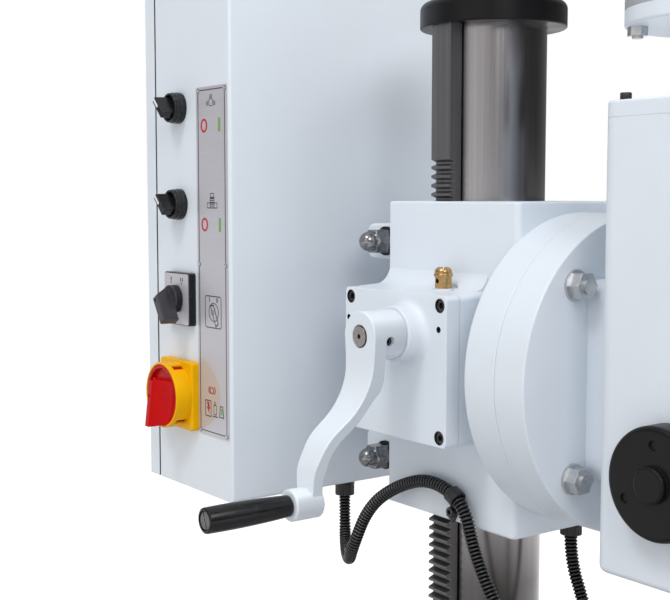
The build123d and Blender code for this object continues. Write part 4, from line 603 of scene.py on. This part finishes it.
def corrugated(name, line, material):
    """Closed hose with parallel rings along the line."""
    lengths = [0.0]
    for a, b in zip(line, line[1:]):
        lengths.append(lengths[-1] + (b - a).length)
    total = lengths[-1]
    turns = round(total / HOSE_PITCH)
    profile = (1.0, 1.0, 0.86, 0.20, 0.0, 0.0, 0.20, 0.86)
    rings = turns * len(profile)
    sides = 28
    bm = bmesh.new()
    crest = bm.verts.layers.float.new("crest")
    normal = Vector((1.0, 0.0, 0.0))
    k = 0
    rows = []
    for i in range(rings + 1):
        want = total * i / rings
        while k < len(lengths) - 2 and lengths[k + 1] < want:
            k += 1
        t = (want - lengths[k]) / max(lengths[k + 1] - lengths[k], 1e-9)
        centre = line[k].lerp(line[k + 1], min(max(t, 0.0), 1.0))
        ahead = line[min(k + 2, len(line) - 1)] - line[max(k - 1, 0)]
        ahead.normalize()
        normal = (normal - ahead * normal.dot(ahead)).normalized()
        side = ahead.cross(normal)
        lift = profile[i % len(profile)]
        r = HOSE_VALLEY + (HOSE_R - HOSE_VALLEY) * lift
        rows.append([
            bm.verts.new(centre + normal * (r * math.cos(2 * math.pi * j / sides)) + side * (r * math.sin(2 * math.pi * j / sides)))
            for j in range(sides)
        ])
        for v in rows[-1]:
            v[crest] = lift
    for a, b in zip(rows, rows[1:]):
        for j in range(sides):
            bm.faces.new((a[j], a[(j + 1) % sides], b[(j + 1) % sides], b[j]))
    bm.faces.new(rows[0][::-1])
    bm.faces.new(rows[-1])
    return add_mesh(name, bm, material, "carriage", smooth=True)


s = Shade("hose_plastic", (0.006, 0.006, 0.007), 0.28, Specular_IOR_Level=0.55)
cloud = s.noise(120.0, 4.0)
tone = s.mix(s.ramp(cloud, 0.38, 0.70), (0.012, 0.012, 0.013), (0.018, 0.018, 0.020))
tone = s.mix(s.ramp(s.noise(700.0, 3.0), 0.64, 0.78, 0.0, 0.3), tone, (0.045, 0.044, 0.043))
crest = s.node("Attribute", attribute_name="crest").outputs["Fac"]
# painted shade in the valleys between the rings: darker colour and weaker specular
s.base(s.mix(s.ramp(crest, 0.15, 0.85), (0.0012, 0.0012, 0.0014), tone))
s.join(s.ramp(crest, 0.10, 0.90, 0.02, 0.78), s.bsdf.inputs["Specular IOR Level"])
s.rough(cloud, 0.24, 0.36)
s.bump((s.noise(1600.0, 2.0), 0.10, 0.00008))
HOSE_MAT = s.mat

hose_line = spline_points("conduit_route", ROUTE)
hose = corrugated("conduit_hose", hose_line, HOSE_MAT)
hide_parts("conduit")
clip_centre = Vector((-0.081, -0.04467, 0.74991))
print("conduit passes the clip's centre at", round(min((p - clip_centre).length for p in hose_line) * 1000, 2), "mm")


# -------------------------------------------------------- printed symbols
def ink(name, colour, rough=0.42):
    s = Shade(name, colour, rough)
    grain = s.noise(900.0, 3.0)
    s.base(s.mix(s.ramp(grain, 0.35, 0.70), dimmed(colour, 0.90), dimmed(colour, 1.06)))
    s.rough(grain, rough - 0.06, rough + 0.08)
    s.bump((grain, 0.10, 0.00004))
    return s.mat


INK_DARK = ink("ink_dark", (0.050, 0.048, 0.054))
INK_RED = ink("ink_red", (0.50, 0.022, 0.024))
INK_GREEN = ink("ink_green", (0.19, 0.37, 0.075))
INK_ORANGE = ink("ink_orange", (0.545, 0.465, 0.415))
INK_WHITE = ink("ink_white", (0.82, 0.83, 0.84))

LABEL_X = -0.19430
PRINT = 0.00006


def on_label(y, z, d):
    return (LABEL_X - PRINT * d if d else LABEL_X + 0.00002, y / 1000.0, z / 1000.0)


def label_prints():
    dark, red, green, orange = bmesh.new(), bmesh.new(), bmesh.new(), bmesh.new()

    def frame_of(bm, y0, y1, z0, z1, w, r):
        cy, cz = (y0 + y1) / 2, (z0 + z1) / 2
        wy, wz = abs(y1 - y0), abs(z1 - z0)
        band(bm, round_box(cy, cz, wy, wz, r), round_box(cy, cz, wy - 2 * w, wz - 2 * w, max(r - w, 0.05)), on_label, 1)

    def ring(bm, y, z, ry, rz, wy, wz=None):
        band(bm, ellipse(y, z, ry, rz), ellipse(y, z, ry - wy, rz - (wy if wz is None else wz)), on_label, 1)

    def solid(bm, y0, y1, z0, z1, r=0.1):
        prism(bm, round_box((y0 + y1) / 2, (z0 + z1) / 2, abs(y1 - y0), abs(z1 - z0), r), on_label, 1)

    def line(bm, p, q, w):
        along = Vector((q[0] - p[0], q[1] - p[1])).normalized() * (w / 2)
        prism(bm, [(p[0] - along.y, p[1] + along.x), (q[0] - along.y, q[1] + along.x), (q[0] + along.y, q[1] - along.x), (p[0] + along.y, p[1] - along.x)], on_label, 1)

    # border lines between the rivets, and a ring round each rivet
    rivets = [(y, z) for y in (140.4, 188.0) for z in (1100.7, 941.0, 784.7)]
    for y, z in rivets:
        ring(dark, y, z, 2.7, 2.3, 0.8, 0.6)
    for y in (140.4, 188.0):
        solid(dark, y - 0.65, y + 0.65, 943.6, 1098.1, 0.2)
        solid(dark, y - 0.65, y + 0.65, 787.3, 938.4, 0.2)
    for z in (1101.2, 784.7):
        solid(dark, 143.6, 184.8, z - 0.5, z + 0.5, 0.2)
    # three linked rings at the top
    hubs = ((164.5, 1094.6), (170.4, 1088.9), (159.0, 1088.5))
    for y, z in hubs:
        ring(dark, y, z, 2.4, 2.2, 0.9, 0.7)
        prism(dark, ellipse(y, z, 0.7, 0.7, 20), on_label, 1)
    line(dark, (166.3, 1093.0), (168.6, 1090.7), 0.8)
    line(dark, (162.8, 1093.0), (160.6, 1090.3), 0.8)
    solid(dark, 162.0, 167.4, 1086.1, 1086.9)
    # stop ring and run bar beside each selector
    for z in (1068.9, 978.1):
        ring(red, 177.4, z, 6.1, 6.5, 2.7, 2.1)
        solid(green, 148.0, 152.0, z - 6.3, z + 6.3, 1.1)
    # spindle sign: shank, threaded body and collar
    frame_of(dark, 160.2, 167.2, 1003.0, 1007.2, 0.8, 0.4)
    frame_of(dark, 159.6, 167.6, 993.1, 1003.2, 0.8, 0.3)
    for i in range(5):
        solid(dark, 160.6, 166.6, 994.9 + 1.65 * i, 995.7 + 1.65 * i)
    frame_of(dark, 154.4, 172.9, 993.1, 998.5, 0.8, 0.4)
    # dial of the two-speed switch
    frame_of(dark, 148.5, 178.2, 882.5, 912.7, 1.0, 3.2)
    ring(dark, 162.5, 897.4, 9.0, 8.8, 1.1, 0.8)
    band(
        dark,
        [(169.4, 903.9), (162.4, 904.6), (153.6, 887.2), (158.9, 883.3)],
        [(167.6, 902.6), (163.2, 903.2), (155.2, 887.6), (158.6, 885.2)],
        on_label, 1.35,
    )
    ring(dark, 164.2, 897.1, 2.4, 2.2, 0.8, 0.7)
    solid(dark, 169.4, 170.6, 906.9, 911.0, 0.2)
    for y in (157.3, 155.1):
        solid(dark, y - 0.55, y + 0.55, 906.9, 911.0, 0.2)
    # pale field of the main switch, cut by the border line
    field = [(187.2, 852.3)]
    field += [(187.2 - 36.0 * math.sin(math.pi * t / 24.0) ** 0.66, 852.3 - 66.5 * t / 24.0) for t in range(1, 24)]
    field += [(187.2, 785.8)]
    prism(orange, field, on_label, 0.4)
    # small signs on the field and beside it
    ring(red, 167.1, 824.0, 4.3, 3.4, 1.8, 1.25)
    for sgn in (1, -1):
        start = 0.0 if sgn > 0 else 180.0
        outer = ellipse(166.7, 824.2, 6.6, 4.9, 16, start - 52.0, start + 52.0)
        inner = ellipse(166.7, 824.2, 5.4, 4.1, 16, start + 52.0, start - 52.0)
        prism(dark, outer + inner, on_label, 1)
    frame_of(dark, 168.2, 179.4, 798.8, 814.5, 1.1, 0.8)
    prism(red, [(176.6, 812.6), (172.4, 812.6), (170.2, 806.3), (172.6, 806.3), (171.2, 800.6), (176.9, 808.0), (174.4, 808.0)], on_label, 1)
    frame_of(dark, 158.6, 164.2, 801.6, 811.4, 0.9, 1.2)
    ring(dark, 161.4, 812.9, 1.7, 1.6, 0.7, 0.6)
    solid(dark, 156.6, 166.0, 799.6, 800.8, 0.3)
    band(dark, [(145.4, 800.4), (154.2, 800.4), (152.4, 811.7), (147.0, 811.7)], [(146.8, 801.4), (152.8, 801.4), (151.4, 810.7), (148.0, 810.7)], on_label, 1)
    solid(green, 148.1, 150.9, 803.4, 809.4, 0.4)
    return dark, red, green, orange


for tag, bm, material in zip(("dark", "red", "green", "orange"), label_prints(), (INK_DARK, INK_RED, INK_GREEN, INK_ORANGE)):
    add_mesh("label_print_" + tag, bm, material, "carriage")


# marks on the cam switch plate
def on_cam_plate(y, z, d):
    return (-0.2015 - (0.00008 if d else -0.00002), y / 1000.0, z / 1000.0)


marks = bmesh.new()
for y in (230.4, 211.7, 208.2):
    prism(marks, round_box(y, 925.2, 1.5, 3.8, 0.25), on_cam_plate, 1)
for y in (230.4, 210.0):
    prism(marks, round_box(y, 921.8, 2.0, 1.4, 0.25), on_cam_plate, 1)
add_mesh("cam_plate_marks", marks, INK_DARK, "carriage")


# white pointer stripe on the upper half of each selector's ridge
def selector_stripe(name, z, body):
    along = Vector((0.0, math.cos(math.radians(45.0)), math.sin(math.radians(45.0))))
    across = Vector((0.0, -along.z, along.y))
    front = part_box("selector_knob_upper" if "upper" in body else "selector_knob_lower")[0].x
    centre = Vector((front, 0.2253, z))

    def place(u, v, d):
        p = centre + along * (u / 1000.0) + across * (v / 1000.0)
        return (front - (0.00012 if d else -0.0001), p.y, p.z)

    bm = bmesh.new()
    prism(bm, round_box(5.7, 0.0, 10.2, 2.6, 0.3), place, 1)
    add_mesh(name, bm, INK_WHITE, body)


selector_stripe("selector_stripe_upper", 1.0875, "upper_selector")
selector_stripe("selector_stripe_lower", 0.9965, "lower_selector")

# ------------------------------------------------------- floor and lights
bm = bmesh.new()
bmesh.ops.create_grid(bm, x_segments=24, y_segments=24, size=40.0)
floor_mesh = bpy.data.meshes.new("floor")
bm.to_mesh(floor_mesh)
bm.free()
floor = bpy.data.objects.new("floor", floor_mesh)
floor.location = (0.0, 0.0, -0.0003)
scene.collection.objects.link(floor)
# painted shade: the floor is grey within about 1.5 m of (-0.6, -0.8), darkening the ground round the machine and the
# light it bounces up; beyond 2.8 m it turns pale and glows as an even white backdrop
s = Shade("floor_pale", (0.90, 0.90, 0.90), 0.6)
reach = s.node("VectorMath", operation="DISTANCE")
s.join(s.coord, reach.inputs[0])
reach.inputs[1].default_value = (-0.6, -0.8, 0.0)
away = s.ramp(reach.outputs["Value"], 1.5, 2.8)
s.base(s.mix(away, s.mix(s.ramp(s.noise(1.3, 3.0), 0.3, 0.7), (0.47, 0.47, 0.475), (0.49, 0.49, 0.495)), (0.92, 0.92, 0.92)))
s.bsdf.inputs["Emission Color"].default_value = (1.0, 1.0, 1.0, 1.0)
s.join(s.ramp(reach.outputs["Value"], 1.7, 2.8, 0.0, 0.47), s.bsdf.inputs["Emission Strength"])
s.bsdf.inputs["Specular IOR Level"].default_value = 0.2
floor.data.materials.append(s.mat)

world = bpy.data.worlds.new("studio")
scene.world = world
world.use_nodes = True
wt = world.node_tree
wt.nodes.clear()


def wnode(kind, **props):
    made = wt.nodes.new("ShaderNode" + kind)
    for key, value in props.items():
        setattr(made, key, value)
    return made


def wmath(op, a, b=0.0, c=None):
    m = wnode("Math", operation=op)
    for i, v in enumerate((a, b) if c is None else (a, b, c)):
        if isinstance(v, bpy.types.NodeSocket):
            wt.links.new(v, m.inputs[i])
        else:
            m.inputs[i].default_value = v
    return m.outputs[0]


def lobe(direction, width):
    """Soft round glow in the surroundings about a direction."""
    d = wnode("VectorMath", operation="DOT_PRODUCT")
    wt.links.new(wdir, d.inputs[0])
    d.inputs[1].default_value = Vector(direction).normalized()
    r = wnode("MapRange", interpolation_type="SMOOTHSTEP", clamp=True)
    r.inputs["From Min"].default_value = math.cos(math.radians(width))
    r.inputs["From Max"].default_value = 1.0
    wt.links.new(d.outputs["Value"], r.inputs["Value"])
    return r.outputs["Result"]


wdir = wnode("TexCoord").outputs["Generated"]
level = wmath("MULTIPLY_ADD", lobe((0, 0, 1), 95), 0.80, 0.215)
level = wmath("MULTIPLY_ADD", lobe((-0.96, -0.25, 0.1), 37), 0.70, level)
level = wmath("MULTIPLY_ADD", lobe((0.60, -0.80, 0.0), 62), -0.19, level)
level = wmath("MAXIMUM", level, 0.03)
soft = wnode("Background")
wt.links.new(level, soft.inputs["Strength"])
white = wnode("Background")
white.inputs["Color"].default_value = (1.0, 1.0, 1.0, 1.0)
white.inputs["Strength"].default_value = 1.0
pick = wnode("MixShader")
wt.links.new(wnode("LightPath").outputs["Is Camera Ray"], pick.inputs[0])
wt.links.new(soft.outputs[0], pick.inputs[1])
wt.links.new(white.outputs[0], pick.inputs[2])
wt.links.new(pick.outputs[0], wnode("OutputWorld").inputs["Surface"])


def area(name, location, target, size, power, colour=(1.0, 1.0, 1.0)):
    data = bpy.data.lights.new(name, "AREA")
    data.shape = "RECTANGLE"
    data.size, data.size_y = size
    data.energy = power
    data.color = colour
    obj = bpy.data.objects.new(name, data)
    obj.location = location
    obj.rotation_euler = (Vector(target) - Vector(location)).to_track_quat("-Z", "Y").to_euler()
    scene.collection.objects.link(obj)
    return obj


area("softbox_left", (-1.75, -0.35, 3.2), (-0.05, 0.0, 0.95), (0.75, 0.75), 23.0)
area("softbox_front", (-1.2, -2.6, 2.6), (0.0, 0.0, 0.95), (1.4, 1.4), 25.0)
area("softbox_right", (0.75, -2.3, 3.0), (0.0, 0.0, 0.95), (1.2, 1.2), 28.0)
